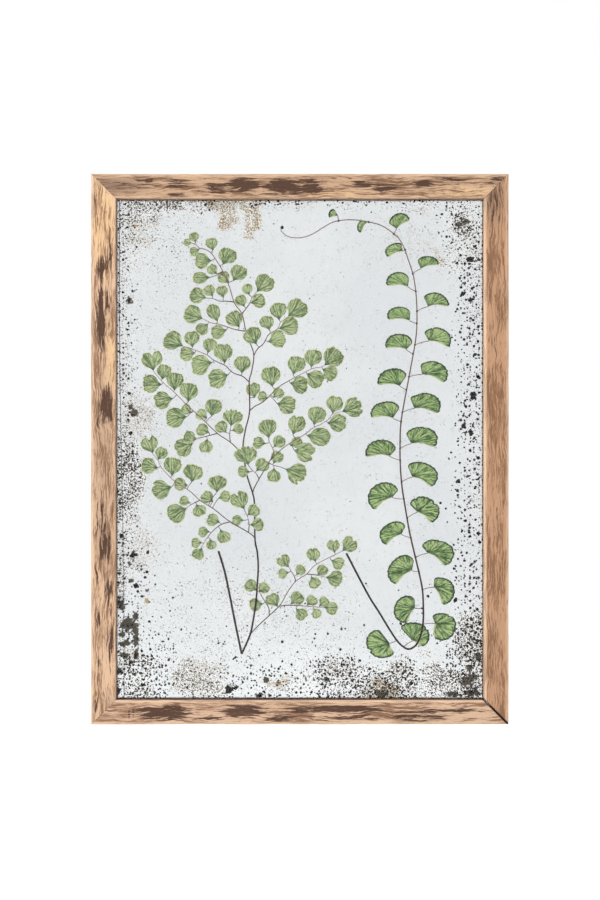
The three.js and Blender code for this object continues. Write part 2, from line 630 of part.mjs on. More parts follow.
add("rail_bottom", railGeometry(FRAME_WIDTH, 0), materials.wood);
add("rail_left", railGeometry(FRAME_HEIGHT, 1), materials.wood);
add("rail_top", railGeometry(FRAME_WIDTH, 2), materials.wood);
add("rail_right", railGeometry(FRAME_HEIGHT, 3), materials.wood);
add("glass_pane", sheet(GLASS_THICKNESS, LIP_BACK + GLASS_THICKNESS), materials.glass);
add("mirror_panel", sheet(MIRROR_THICKNESS, MIRROR_BACK), materials.mirror);
add("backing_board", sheet(BOARD_THICKNESS, BOARD_BACK), materials.board);

framerPlaces().forEach(({ x, z, turns }, i) => {
  const geometry = framerPoint();
  geometry.rotateY(turns * Math.PI / 2);
  geometry.translate(x, BOARD_BACK, FRAME_MIDDLE + z);
  add(`framer_point_${i + 1}`, geometry, materials.steel);
});

add("hanger_plate", hangerGeometry(), materials.brass);
nailPlaces().forEach(([x, z], i) => {
  const nail = add(`hanger_nail_${i + 1}`, nailGeometry(), materials.brass);
  nail.position.set(x, 0, z);
});

add("left_frond_stem", leftStemGeometry(), materials.leftLeaf);
for (const branch of BRANCHES) add(branch.name, branchGeometry(branch), materials.leftLeaf);

add("right_frond_stem", rightStemGeometry(), materials.stem);
PINNAE.forEach((row, i) => {
  const lift = i + 1 === LIFTED_PINNA ? LEAF_THICKNESS : 0;
  const geometry = pressed(pinnaOutline(row), lift, lift + LEAF_THICKNESS);
  add(`right_frond_pinna_${i + 1}`, geometry, materials.rightLeaf);
});

export default frame;
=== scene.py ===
# The looks of a pressed fern frame: two maidenhair fronds on an antiqued, foxed mirror, behind
# glass, in a narrow mitred frame of reclaimed wood.
# Lengths are millimetres in the frame's own axes: +Z up, +X to the right, the front faces -Y.

import math

import bmesh
import bpy
import numpy as np
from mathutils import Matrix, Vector


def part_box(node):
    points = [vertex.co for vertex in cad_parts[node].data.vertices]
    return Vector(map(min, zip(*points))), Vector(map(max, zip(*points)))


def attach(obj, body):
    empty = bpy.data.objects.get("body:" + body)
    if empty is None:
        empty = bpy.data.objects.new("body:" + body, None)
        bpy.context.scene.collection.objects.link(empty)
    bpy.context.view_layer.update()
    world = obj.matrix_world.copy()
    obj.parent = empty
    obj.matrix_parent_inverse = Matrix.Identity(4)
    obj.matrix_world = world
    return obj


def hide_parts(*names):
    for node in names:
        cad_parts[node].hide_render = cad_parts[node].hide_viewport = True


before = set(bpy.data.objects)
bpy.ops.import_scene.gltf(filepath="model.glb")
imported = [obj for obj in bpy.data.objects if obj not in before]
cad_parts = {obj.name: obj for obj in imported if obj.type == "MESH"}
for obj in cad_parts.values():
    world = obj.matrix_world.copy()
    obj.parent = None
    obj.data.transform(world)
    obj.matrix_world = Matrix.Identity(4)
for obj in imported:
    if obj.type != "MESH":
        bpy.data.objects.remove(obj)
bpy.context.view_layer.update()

MM = 0.001


def corners_of(node):
    """A node's lowest and highest corner, in mm."""
    low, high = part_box(node)
    return [value / MM for value in low], [value / MM for value in high]


# Places read from the frame
(FRAME_LEFT, FRAME_FRONT, FRAME_BOTTOM), (_, _, MIRROR_LOW) = corners_of("rail_bottom")
FRAME_RIGHT = corners_of("rail_bottom")[1][0]
FRAME_TOP = corners_of("rail_top")[1][2]
FRAME_DEPTH = -FRAME_FRONT
FRAME_WIDTH = FRAME_RIGHT - FRAME_LEFT
FRAME_HEIGHT = FRAME_TOP - FRAME_BOTTOM
MIRROR_LEFT = corners_of("rail_left")[1][0]
VIEW_WIDTH = corners_of("rail_right")[0][0] - MIRROR_LEFT
VIEW_HEIGHT = corners_of("rail_top")[0][2] - MIRROR_LOW
RAIL_FACE = MIRROR_LOW - FRAME_BOTTOM
SHEET_LEFT, MIRROR_FRONT, SHEET_LOW = corners_of("mirror_panel")[0]
SHEET_RIGHT, MIRROR_BACK, SHEET_HIGH = corners_of("mirror_panel")[1]
LIP_BACK = corners_of("glass_pane")[0][1]
FRAME_MIDDLE = (FRAME_TOP + FRAME_BOTTOM) / 2

# Section of a rail
RABBET_WIDTH = 6
OUTER_ARRIS = 2.6
INNER_ARRIS = 1.2

# Heights of the pressed layers in front of the mirror
LEAF_LIFT = 0.02
LEAF_STEP = 0.11
LEAF_THICKNESS = 0.2
LEAF_RIM = 0.07
BRANCH_HEIGHT = 0.38
MAIN_STEM_HEIGHT = 0.92
OVER_STEM_LIFT = 1.22
RIGHT_STEM_HEIGHT = 0.8
LIFTED_PINNA = 24
STALK_LIFT = 0.12

# Widths and half heights of stems and stalks
STALK_WIDTH = 0.5
BRANCH_WIDTH = (0.75, 0.45)
LEFT_STEM_WIDTH = (0.55, 1.4)
FOLDED_STIPE_WIDTH = (1.4, 1.5)
RIGHT_STEM_WIDTH = (0.45, 1.5)
BRANCH_HALF_HEIGHTS = (0.27, 0.2)
LEFT_STEM_HALF_HEIGHTS = (0.24, 0.34)
FOLDED_STIPE_HALF_HEIGHTS = (0.34, 0.34)
RIGHT_STEM_HALF_HEIGHTS = (0.25, 0.42)
STALK_HALF_WIDTH = 0.24
STALK_HALF_HEIGHT = 0.16
JOINT_RADIUS = 0.75
TIP_RADIUS = 1.25
SHORTEST_STALK = 0.4

# How old and so how dark stems are, from 0 to 1: a branch from its foot to its tip, the main
# stems from their tip down, and places along them
BRANCH_AGES = (0.5, 0.1)
LEFT_STEM_AGES = (0.15, 0.35, 0.75, 1.0)
LEFT_AGE_PLACES = (0, 0.35, 0.7, 1)
RIGHT_STEM_AGES = (0.3, 0.2, 0.36, 0.7, 1.0)
RIGHT_AGE_PLACES = (0, 0.15, 0.5, 0.75, 1)
JOINT_AGE = 0.95
STALK_AGE = 0.3
PINNA_STALK_AGE = 0.25

# A leaflet's width as a share of its length, where its row gives none
USUAL_WIDTH = 0.98

# How far the side edges of a leaf are hollow, as a share of their length
LEAFLET_HOLLOWS = (0.1, 0.1)
PINNA_HOLLOWS = (0.0, 0.12)
LEAF_SHARP_DEGREES = 60

# The fronds' points are [u, v]: mm right of, and above, the lower left corner of the visible
# mirror. A leaflet is [u, v, length, heading], from its base, with its width after them where it
# isn't about as wide as it is long.
LEFT_STEM = [
    [54.5, 333.5], [58, 332], [60.5, 329.5], [64, 329], [69, 326], [73.5, 319.5], [76.8, 314],
    [82, 302], [86, 289.5], [91.5, 281.5], [94.3, 269], [97.3, 260.8], [100.2, 251], [98.5, 239],
    [96.8, 231.5], [97.1, 210.5], [94, 196.5], [92.3, 184.5], [93.6, 172], [95.5, 162],
    [99.3, 150.3], [100.7, 141.5], [101, 117], [102.7, 107], [103.4, 96.5], [102.8, 84],
    [101.7, 70], [99.7, 57], [97.4, 46.4], [91.3, 32.4],
]

FOLDED_STIPE = [[91.3, 32.4], [86.7, 54.4], [79.5, 90], [74.3, 107.8]]

LEFT_STEM_LEAFLETS = [
    [54.5, 333.5, 6, 175], [57.5, 334, 7.8, 107], [60.2, 328.8, 7.5, 205], [70.2, 328, 9.5, 100],
    [69.2, 320.5, 12.5, 182], [77.6, 317.8, 13, 65, 14], [73, 310.8, 8.5, 135],
    [68, 308.2, 13, 182, 9], [81.9, 304.2, 10, 135], [85.2, 305.8, 13, 60],
    [101, 220.2, 11.3, 105],
]

# The left frond's side branches, from its top: each has its stems, the first of which leaves the
# main stem, then its leaflets, and then those of its leaflets that lie over the main stem
BRANCHES = {
    "left_frond_branch_a": [
        [[[85.7, 290.2], [80, 290.8], [74.8, 290.8], [71, 292.5], [65.2, 293.2]]],
        [[65.2, 293.2, 12.5, 165], [70, 294.5, 9, 120], [77.8, 293.5, 9, 100]],
        [],
    ],
    "left_frond_branch_b": [
        [[[91.5, 281.5], [93.2, 283.8], [97.2, 289.2], [98.8, 293.5], [102.5, 297.8]]],
        [
            [93.2, 286.8, 9.6, 118, 9], [96.8, 295.5, 8.5, 110], [102.5, 297.8, 15, 50],
            [98, 289.5, 11, 15],
        ],
        [],
    ],
    "left_frond_branch_c": [
        [[[94.3, 269], [91, 269.2], [85, 270.5], [75, 273.8], [69, 275], [62.5, 278]]],
        [
            [89.5, 271.8, 13, 120], [73.5, 275.8, 14, 110, 10], [62.5, 278, 14.5, 158],
            [66.5, 274.2, 10, 225], [80.2, 269.8, 12, 193, 10.5],
        ],
        [],
    ],
    "left_frond_branch_d": [
        [
            [
                [100.2, 251], [103, 256], [107.5, 260], [110, 265], [112, 267], [118, 271],
                [119.5, 275], [125.5, 279.5],
            ],
        ],
        [
            [110.5, 261, 13.5, 15], [111.5, 269.8, 11, 105], [118.8, 270.8, 14.5, 12],
            [118.8, 277, 13, 97], [125.5, 279.5, 16, 45],
        ],
        [[102, 259.5, 13, 118, 14]],
    ],
    "left_frond_branch_e": [
        [
            [
                [96.8, 231.5], [92, 235.8], [86, 237.8], [82.5, 240.5], [79.5, 243.5],
                [71, 247.5], [66.5, 251], [58.5, 254.5], [48, 258],
            ],
        ],
        [
            [91.5, 238, 13, 89], [81.2, 236.8, 15, 197], [78.8, 245.5, 14.5, 95],
            [69.5, 245.8, 15.5, 188], [66.5, 252.8, 11.3, 80, 10.4], [57, 252.8, 11.5, 185],
            [55.2, 257.2, 12, 95], [48, 258, 15, 150],
        ],
        [],
    ],
    "left_frond_branch_f": [
        [
            [
                [97.1, 210.5], [101, 213.8], [107.5, 217.5], [118, 227.5], [125, 232], [142, 241],
                [148.5, 242.2], [152.3, 244],
            ],
        ],
        [
            [110.5, 219.5, 8, 160], [117.2, 215.8, 14, 350], [114.5, 220.2, 9, 45],
            [113.8, 228.2, 15, 98], [126.8, 230.8, 13.5, 352], [129, 237.2, 14, 75],
            [139, 237.8, 14, 330], [142.2, 242.5, 13.5, 82], [150.5, 241.2, 12, 332],
            [152.2, 244, 15.5, 45],
        ],
        [],
    ],
    "left_frond_branch_g": [
        [
            [
                [93.6, 172], [91.5, 178], [88.5, 182.2], [83, 187.5], [73.5, 194], [63, 204],
                [50.5, 215.5], [41.5, 224.5], [33, 232], [26.5, 239.8],
            ],
            [[73.5, 194], [66, 192], [58, 189.7], [55.5, 186.8]],
            [[83, 187.5], [82.5, 193], [83.4, 199]],
        ],
        [
            [26.5, 240, 14, 99, 16], [33, 233.5, 11.5, 75], [32.5, 229.8, 14, 178],
            [42, 225.5, 13.5, 85], [40.8, 219.5, 14, 190], [52.2, 217.2, 14, 85],
            [54.5, 209, 8.5, 150], [51, 206.2, 15.5, 183], [65.8, 205.2, 9, 145],
            [69.2, 206.5, 13, 80], [67.5, 194.5, 10, 155], [58.2, 189.8, 10, 165],
            [55.5, 186.8, 14, 205], [66, 190, 10.5, 265], [83.4, 199.5, 12.5, 80, 15],
            [80, 194.5, 10, 130], [84.5, 196, 8.5, 20],
        ],
        [],
    ],
    "left_frond_branch_h": [
        [
            [
                [99.3, 150.3], [100.5, 154], [104, 160.5], [111, 172.5], [112.5, 174.5],
                [122.5, 184], [135.5, 192], [140, 195.2], [144.5, 198.5], [149, 200.5],
                [155.5, 204.8], [157.5, 208], [165.5, 210.2],
            ],
            [[112.5, 174.5], [114.7, 180], [114, 183], [111.5, 187.5]],
            [[111, 172.5], [114.6, 170.5]],
            [[104, 160.5], [102, 164.5], [99.5, 166.5]],
        ],
        [
            [108.8, 186.5, 9.5, 172], [111.2, 190.5, 14, 99], [115, 184, 10, 48],
            [114.5, 172, 10, 61], [115, 168.5, 10.5, 268], [123.5, 167.8, 16, 338],
            [127.2, 184.8, 9.5, 30], [129.8, 181.5, 15.5, 348], [128.8, 193.2, 15, 72, 13],
            [139, 192.5, 18, 352, 14], [144.2, 200.2, 14, 75], [154.2, 201.5, 14, 0],
            [157.8, 208.8, 13, 78], [165, 210, 15.5, 20], [102.2, 166.5, 11, 48],
        ],
        [[96, 171, 14, 100, 17], [97.2, 165.8, 9, 180]],
    ],
    "left_frond_branch_i": [
        [
            [
                [101, 117], [97.7, 120.5], [81.7, 130], [71.7, 138], [60.7, 145], [53.5, 151.5],
                [42, 159], [32.5, 169], [30.2, 174], [26.2, 179],
            ],
            [[83.2, 129.2], [76.7, 127.5], [70.7, 123], [65.7, 117], [61.7, 110.5]],
            [[96.3, 121.3], [96.7, 127], [95.7, 133]],
            [[60.7, 145], [55.5, 142.5], [51, 139.6]],
        ],
        [
            [26.2, 179.5, 13, 110], [30.2, 174.8, 10, 65], [29.8, 168.8, 12.5, 170],
            [40.2, 162.8, 14, 85], [40, 154.8, 15, 195], [51.5, 156.2, 10, 177],
            [54.8, 158.5, 13, 80, 15], [70.2, 144, 10, 142], [73.2, 151, 12.5, 90, 14],
            [74.5, 146.5, 9, 17], [53.2, 143, 8, 160], [50.7, 139.2, 15, 208],
            [58.2, 142, 9.5, 293, 10.5], [93.2, 138.5, 14, 116], [92.5, 130.3, 8.5, 178],
            [75.2, 128.8, 10, 160], [67.7, 122, 8.5, 180], [75.7, 123.5, 10.5, 292],
            [62.2, 114, 8, 182], [68.2, 116.5, 8, 280], [62.2, 110, 9.5, 238],
        ],
        [[95.8, 134.3, 9.8, 38], [97.8, 127, 10, 5]],
    ],
    "left_frond_small_spray": [
        [
            [
                [97.4, 46.8], [104.7, 54.4], [118.7, 67.4], [124.7, 77.4], [130.7, 85.4],
                [139.4, 91.4], [145.9, 98], [165.4, 108],
            ],
            [[111.5, 60.7], [111, 66.4], [106.7, 73.4], [104.7, 77.4], [102, 79]],
            [[130.4, 85.2], [130.2, 88.4], [126.2, 95.5]],
            [[118.7, 67.4], [127, 68.1], [151.9, 66.4]],
            [[138.9, 91], [146.4, 90.2], [153.4, 88.5]],
        ],
        [
            [102, 79, 10, 141], [103.7, 77.9, 9, 38], [106.7, 69.2, 10, 190],
            [117.5, 67.2, 11, 122], [125.7, 96.2, 10.3, 128], [125.7, 92.2, 8, 190],
            [131.5, 90.3, 8.5, 52], [127.4, 69, 11, 43], [131.2, 65.5, 10, 314],
            [139.2, 68, 9, 48], [148.2, 67.4, 8.5, 42], [151.9, 66.6, 10, 350],
            [143.9, 65.8, 8, 305], [145.4, 100, 10.5, 104], [159.5, 106.6, 10, 100],
            [165.2, 108, 12.5, 41], [156.9, 101, 10, 336], [147, 90.4, 9, 48],
            [142.2, 89, 9.5, 299], [153, 88.6, 12.5, 350],
        ],
        [],
    ],
}

RIGHT_STEM = [
    [120.9, 344.8], [119.8, 343], [121.5, 340.8], [124.5, 338.5], [128, 337.4], [133.4, 337.2],
    [139.4, 338.4], [145.5, 341.2], [152, 345.5], [158.5, 348.8], [165, 350.1], [173.4, 350.4],
    [183.4, 349], [192.4, 346.7], [199.4, 342.7], [206.4, 336.7], [210.2, 330], [213.2, 321.5],
    [216.6, 311], [218.6, 299.7], [219.6, 286], [219.5, 272], [218.3, 260], [213.4, 233],
    [208.2, 204], [207.3, 188], [207.4, 172], [208.7, 155], [211.2, 139], [214.8, 119],
    [221.4, 91], [223.7, 79], [224.3, 67], [224.2, 56], [222.3, 46], [219.4, 39.6],
    [216.4, 36.9], [213.4, 36], [210.4, 37.2], [205.8, 41.3], [199.8, 50], [191.8, 63.2],
    [183.9, 75.8], [167.9, 106.2],
]

# The right frond's pinnae, from its tip: base, joint on the stem, the headings of the two ends
# of the margin, and the distances from the base to the margin at equal turns between them
PINNAE = [
    [161.8, 353.2, 162.3, 349.6, 118, 192, [6, 7, 7.3, 7.2, 6.8]],
    [183.3, 348.8, 184.3, 348.8, 165, 240, [4.5, 6.5, 8.2, 9.6, 9.8]],
    [204.9, 343.9, 202.8, 339.8, 147, 33, [7.2, 9.2, 11.3, 12.7, 12.3]],
    [209.1, 327.5, 211, 328.5, 97, 203, [6, 7.4, 9.9, 12.9, 12.6]],
    [222.6, 314.6, 216.6, 311, 115, 12, [6.5, 8.6, 10.5, 13.3, 14.6]],
    [212.9, 301.4, 218.8, 298, 80, 178, [6.5, 10.5, 14, 16.4, 16.4]],
    [227.9, 286.9, 219.7, 283.5, 115, 0, [8.3, 9.9, 12.3, 14.6, 16.5]],
    [214.2, 276.6, 219.5, 274.5, 83, 178, [6.4, 10, 13.5, 17.1, 17]],
    [228.4, 261.7, 218.2, 258.8, 120, -19, [7.4, 9.3, 12.7, 16.3, 16.6]],
    [211.8, 255.4, 216.7, 252.2, 46, 177, [7, 10, 12.6, 16, 16.4]],
    [223.5, 237.1, 213.9, 235.5, 101, -21, [7.5, 10.1, 14.7, 19, 18.7]],
    [206.9, 228.8, 211.8, 226, 55, 178, [10, 12.4, 14.4, 16.7, 17.2]],
    [217.8, 212.3, 208.9, 209.3, 113, -13, [8.9, 10.2, 15.1, 19.8, 19]],
    [202, 205.1, 208.1, 202.7, 57, 179, [10, 12, 14, 16.8, 17.2]],
    [215.6, 186.5, 207.3, 183, 120, -9, [8.7, 11.2, 15, 19.9, 18.9]],
    [199.6, 177.2, 207.4, 174.3, 46, 182, [7.2, 10.4, 13.6, 17.6, 18.9]],
    [216.3, 162, 208.4, 158.5, 114, -28, [9.7, 11.5, 14.8, 19.1, 17.2]],
    [201.4, 147, 210.1, 146, 48, 216, [7.4, 10.4, 14.3, 18, 17]],
    [220, 136.3, 212.5, 132, 135, -39, [8.8, 11.3, 13.8, 16.7, 13.8]],
    [208.2, 120, 215.2, 117.5, 62, 216, [7.2, 9.9, 12.5, 16.2, 15]],
    [227.5, 106.2, 218.8, 103.3, 130, -37, [7.3, 9.5, 13.2, 19.8, 17.3]],
    [215.9, 93.4, 221.1, 92.7, 78, 221, [8.3, 13, 15.6, 18.3, 17]],
    [231.9, 81.3, 223.6, 79.5, 86, -64, [6.9, 9.5, 14.4, 16.6, 15.6]],
    [218.2, 66, 223.4, 65.8, 92, 243, [7.2, 11.9, 15, 16.2, 13.2]],
    [233, 54.6, 224.1, 54.2, 112, -96, [6.3, 9.1, 15.2, 15.4, 10.9]],
    [216.4, 42, 209.9, 37.7, 133, -35, [14.8, 13.9, 14.4, 12.7, 8.2]],
    [199.8, 40.2, 205, 42.4, 128, 297, [14.3, 17.8, 15.7, 11.2, 8.2]],
]

# Leaflets with deep notches, by their base: each notch is a turn in degrees from the leaflet's
# heading, with a depth as a share of its length and a width in degrees
DEEP_NOTCHES = {
    (26.5, 240): [(-4, 0.3, 9)],
    (26.2, 179.5): [(-6, 0.24, 10)],
    (125.7, 96.2): [(2, 0.2, 10)],
    (159.5, 106.6): [(-8, 0.18, 9)],
    (165.2, 108): [(4, 0.2, 9)],
    (93.2, 138.5): [(0, 0.2, 9)],
    (123.5, 167.8): [(-22, 0.24, 8)],
    (129.8, 181.5): [(-6, 0.2, 8)],
    (128.8, 193.2): [(8, 0.18, 8)],
    (96, 171): [(-16, 0.14, 7), (14, 0.16, 7)],
    (83.4, 199.5): [(-14, 0.14, 7), (16, 0.15, 7)],
    (165, 210): [(-12, 0.15, 7), (18, 0.13, 7)],
    (40, 154.8): [(-20, 0.17, 8)],
}

# Notches in the right frond's pinnae, by number from the tip: a share of the way along the
# margin, a depth as a share of the distance from the base, and a width as a share of the margin
PINNA_NOTCHES = {
    9: [(0.33, 0.13, 0.03)],
    19: [(0.22, 0.12, 0.03), (0.62, 0.12, 0.03)],
    21: [(0.5, 0.06, 0.03)],
    25: [(0.4, 0.1, 0.03)],
    26: [(0.55, 0.07, 0.03)],
    27: [(0.42, 0.1, 0.03)],
}


# Numbers: noise, steps and curves

NOISE_TABLE = 128


def soft_noise(x, y, seed):
    """Smooth noise from -1 to 1 over a plane, with about one feature per unit."""
    table = np.random.default_rng(seed).uniform(-1, 1, (NOISE_TABLE, NOISE_TABLE))
    cell_x = np.floor(x).astype(int)
    cell_y = np.floor(y).astype(int)
    part_x = x - cell_x
    part_y = y - cell_y
    part_x = part_x * part_x * (3 - 2 * part_x)
    part_y = part_y * part_y * (3 - 2 * part_y)

    def value(step_x, step_y):
        return table[(cell_x + step_x) % NOISE_TABLE, (cell_y + step_y) % NOISE_TABLE]

    low = value(0, 0) * (1 - part_x) + value(1, 0) * part_x
    high = value(0, 1) * (1 - part_x) + value(1, 1) * part_x
    return low * (1 - part_y) + high * part_y


def smooth_step(low, high, value):
    share = np.clip((value - low) / (high - low), 0, 1)
    return share * share * (3 - 2 * share)


def spline(points, steps_between):
    """A smooth curve through points, with even parts between each two of them."""
    points = np.array(points, float)
    padded = np.vstack([2 * points[0] - points[1], points, 2 * points[-1] - points[-2]])
    share = np.arange(steps_between)[:, None] / steps_between
    parts = []
    for a, b, c, d in zip(padded, padded[1:], padded[2:], padded[3:]):
        parts.append(0.5 * (
            2 * b + (c - a) * share + (2 * a - 5 * b + 4 * c - d) * share**2
            + (3 * b - a - 3 * c + d) * share**3
        ))
    return np.vstack([*parts, padded[-2:-1]])


def travelled(path):
    """How far along a path each of its points lies."""
    return np.concatenate([[0], np.cumsum(np.linalg.norm(np.diff(path, axis=0), axis=1))])


def evenly_spaced(path, step):
    """Points about one step apart along a path of points."""
    places = travelled(path)
    wanted = np.linspace(0, places[-1], max(3, int(round(places[-1] / step)) + 1))
    return np.stack([np.interp(wanted, places, column) for column in path.T], axis=1)


def direction(heading):
    angle = math.radians(heading)
    return np.array([math.cos(angle), math.sin(angle)])


def nearest_on(paths, point):
    """The point of the paths that is nearest to the given one."""
    point = np.array(point, float)
    best = None
    for path in paths:
        for start, end in zip(np.array(path[:-1], float), np.array(path[1:], float)):
            along = end - start
            share = np.clip(np.dot(point - start, along) / np.dot(along, along), 0, 1)
            found = start + share * along
            if best is None or np.linalg.norm(found - point) < np.linalg.norm(best - point):
                best = found
    return best


# Meshes

class Build:
    """Gathers the points and faces of one piece, in mm, with the numbers that its materials
    read: a map of two coordinates, and named fields."""

    def __init__(self, *fields):
        self.points = []
        self.map = []
        self.faces = []
        self.parts = []
        self.fields = {name: [] for name in fields}
        self.count = 0

    def add(self, points, faces, coordinates, part=0, **fields):
        points = np.asarray(points, float).reshape(-1, 3)
        self.points.append(points)
        self.map.append(np.asarray(coordinates, float).reshape(-1, 2))
        self.faces += [[corner + self.count for corner in face] for face in faces]
        self.parts += [part] * len(faces)
        for name, values in self.fields.items():
            given = np.asarray(fields.get(name, 0.0), float)
            values.append(np.broadcast_to(given.reshape(-1), (len(points),)))
        self.count += len(points)

    def piece(self, name, materials, slot, nodes, sharp_degrees=40):
        """The finished piece: it rides on the one body and stands for the given nodes."""
        mesh = bpy.data.meshes.new(name)
        mesh.from_pydata((np.vstack(self.points) * MM).tolist(), [], self.faces)
        for material in materials:
            mesh.materials.append(material)
        mesh.polygons.foreach_set("material_index", self.parts)
        corner_points = np.empty(len(mesh.loops), np.int32)
        mesh.loops.foreach_get("vertex_index", corner_points)
        layer = mesh.uv_layers.new(name="Surface")
        layer.uv.foreach_set("vector", np.vstack(self.map)[corner_points].ravel())
        for field, values in self.fields.items():
            attribute = mesh.attributes.new(field, "FLOAT", "POINT")
            attribute.data.foreach_set("value", np.concatenate(values))
        tidy = bmesh.new()
        tidy.from_mesh(mesh)
        bmesh.ops.recalc_face_normals(tidy, faces=tidy.faces)
        tidy.to_mesh(mesh)
        tidy.free()
        mesh.polygons.foreach_set("use_smooth", [True] * len(mesh.polygons))
        mesh.set_sharp_from_angle(angle=math.radians(sharp_degrees))
        mesh.update()
        made = bpy.data.objects.new(name, mesh)
        bpy.context.scene.collection.objects.link(made)
        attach(made, "root")
        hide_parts(*nodes)
        return made


def grid_faces(rows, columns, closed=False):
    """Faces between rows of points. Closed rows join their last column to their first."""
    faces = []
    for row in range(rows - 1):
        for column in range(columns if closed else columns - 1):
            right = (column + 1) % columns
            faces.append([
                row * columns + column, row * columns + right,
                (row + 1) * columns + right, (row + 1) * columns + column,
            ])
    return faces


def closed_faces(rows, columns):
    """Faces of a closed form of closed rows of points, with one face at each end."""
    ends = [[row * columns + column for column in range(columns)] for row in (0, rows - 1)]
    return grid_faces(rows, columns, closed=True) + ends


def grid_rim(rows, columns):
    """The points round the rim of a grid, in order."""
    last = (rows - 1) * columns
    return [
        *range(columns), *range(2 * columns - 1, rows * columns, columns),
        *range(last + columns - 2, last - 1, -1), *range(last - columns, 0, -columns),
    ]


def on_mirror(flat, height):
    """Points in space of [u, v] points at a height in front of the mirror."""
    flat = np.asarray(flat, float).reshape(-1, 2)
    y = MIRROR_FRONT - np.broadcast_to(height, (len(flat),))
    return np.column_stack([MIRROR_LEFT + flat[:, 0], y, MIRROR_LOW + flat[:, 1]])


# Materials

# Where a Mix node keeps its colours among its sockets
MIX_FIRST_COLOUR = 6
MIX_SECOND_COLOUR = 7
MIX_COLOUR_OUT = 2


class Value:
    """A node's output, which takes part in sums and products as a number does."""

    def __init__(self, tree, socket):
        self.tree = tree
        self.socket = socket

    def __add__(self, other):
        return self.tree.math("ADD", self, other)

    def __mul__(self, other):
        return self.tree.math("MULTIPLY", self, other)

    def __truediv__(self, other):
        return self.tree.math("DIVIDE", self, other)

    def __sub__(self, other):
        return self.tree.math("SUBTRACT", self, other)

    def __rsub__(self, other):
        return self.tree.math("SUBTRACT", other, self)

    def __abs__(self):
        return self.tree.math("ABSOLUTE", self)

    __radd__ = __add__
    __rmul__ = __mul__


class Tree:
    """Adds nodes to a material's tree. An input is either a number or another node's output."""

    def __init__(self, tree):
        self.tree = tree
        self.shader = tree.nodes["Principled BSDF"]

    def feed(self, socket, value):
        if isinstance(value, Value):
            self.tree.links.new(value.socket, socket)
        else:
            socket.default_value = value

    def set(self, **inputs):
        """Inputs of the shader, with _ for a space in their names."""
        for name, value in inputs.items():
            self.feed(self.shader.inputs[name.replace("_", " ")], value)

    def add(self, kind, inputs, output=0, **settings):
        """The output of a new node with these inputs and settings."""
        node = self.tree.nodes.new("ShaderNode" + kind)
        for name, setting in settings.items():
            setattr(node, name, setting)
        for name, value in inputs.items():
            self.feed(node.inputs[name], value)
        return Value(self, node.outputs[output])

    def math(self, operation, *values):
        return self.add("Math", dict(enumerate(values)), operation=operation)

    def highest(self, first, *others):
        for other in others:
            first = self.math("MAXIMUM", first, other)
        return first

    def vector(self, operation, *values):
        return self.add("VectorMath", dict(enumerate(values)), operation=operation)

    def between(self, value, low, high, to_low=0.0, to_high=1.0):
        """A smooth step from one number to another."""
        names = ("Value", "From Min", "From Max", "To Min", "To Max")
        inputs = dict(zip(names, (value, low, high, to_low, to_high)))
        return self.add("MapRange", inputs, interpolation_type="SMOOTHSTEP")

    def noise(self, place, scale, detail=3.0, roughness=0.55, distortion=0.0, output="Fac"):
        return self.add("TexNoise", {
            "Vector": place, "Scale": scale, "Detail": detail, "Roughness": roughness,
            "Distortion": distortion,
        }, output)

    def cells(self, place, scale):
        """The distance to the nearest of scattered points, and that point's own numbers."""
        away = self.add("TexVoronoi", {"Vector": place, "Scale": scale}, voronoi_dimensions="2D")
        own = Value(self, away.socket.node.outputs["Color"])
        return away, *self.split("SeparateColor", own)[:2]

    def mix(self, share, first, second):
        inputs = {"Factor": share, MIX_FIRST_COLOUR: first, MIX_SECOND_COLOUR: second}
        return self.add("Mix", inputs, MIX_COLOUR_OUT, data_type="RGBA")

    def field(self, name):
        return self.add("Attribute", {}, "Fac", attribute_name=name)

    def surface_map(self):
        return self.add("UVMap", {}, uv_map="Surface")

    def place(self):
        """The place on the piece, in metres."""
        return self.add("TexCoord", {}, "Object")

    def split(self, kind, value):
        """The three numbers of a colour or a place."""
        first = self.add(kind, {0: value})
        return [Value(self, socket) for socket in first.socket.node.outputs]

    def parts(self, place):
        return self.split("SeparateXYZ", place)

    def join(self, x, y):
        return self.add("CombineXYZ", {"X": x, "Y": y})

    def scaled(self, place, x, y, z=1.0):
        return self.add("Mapping", {"Vector": place, "Scale": (x, y, z)})

    def bump(self, height, strength, distance):
        return self.add("Bump", {"Height": height, "Strength": strength, "Distance": distance})


def new_material(name):
    made = bpy.data.materials.new(name)
    made.use_nodes = True
    return made, Tree(made.node_tree)


def colour(red, green, blue):
    """A colour for a shader from the 0 to 255 values that a screen shows."""
    def linear(value):
        value /= 255
        return value / 12.92 if value <= 0.04045 else ((value + 0.055) / 1.055) ** 2.4
    return (linear(red), linear(green), linear(blue), 1.0)


# Wood

WARM_TAN = colour(228, 190, 146)
GREY_BROWN = colour(128, 102, 84)
DARK_BROWN = colour(78, 54, 42)
# The tan of wear at the arrises, also used as painted light on lit inner walls and in the rabbet
EDGE_TAN = colour(226, 192, 162)


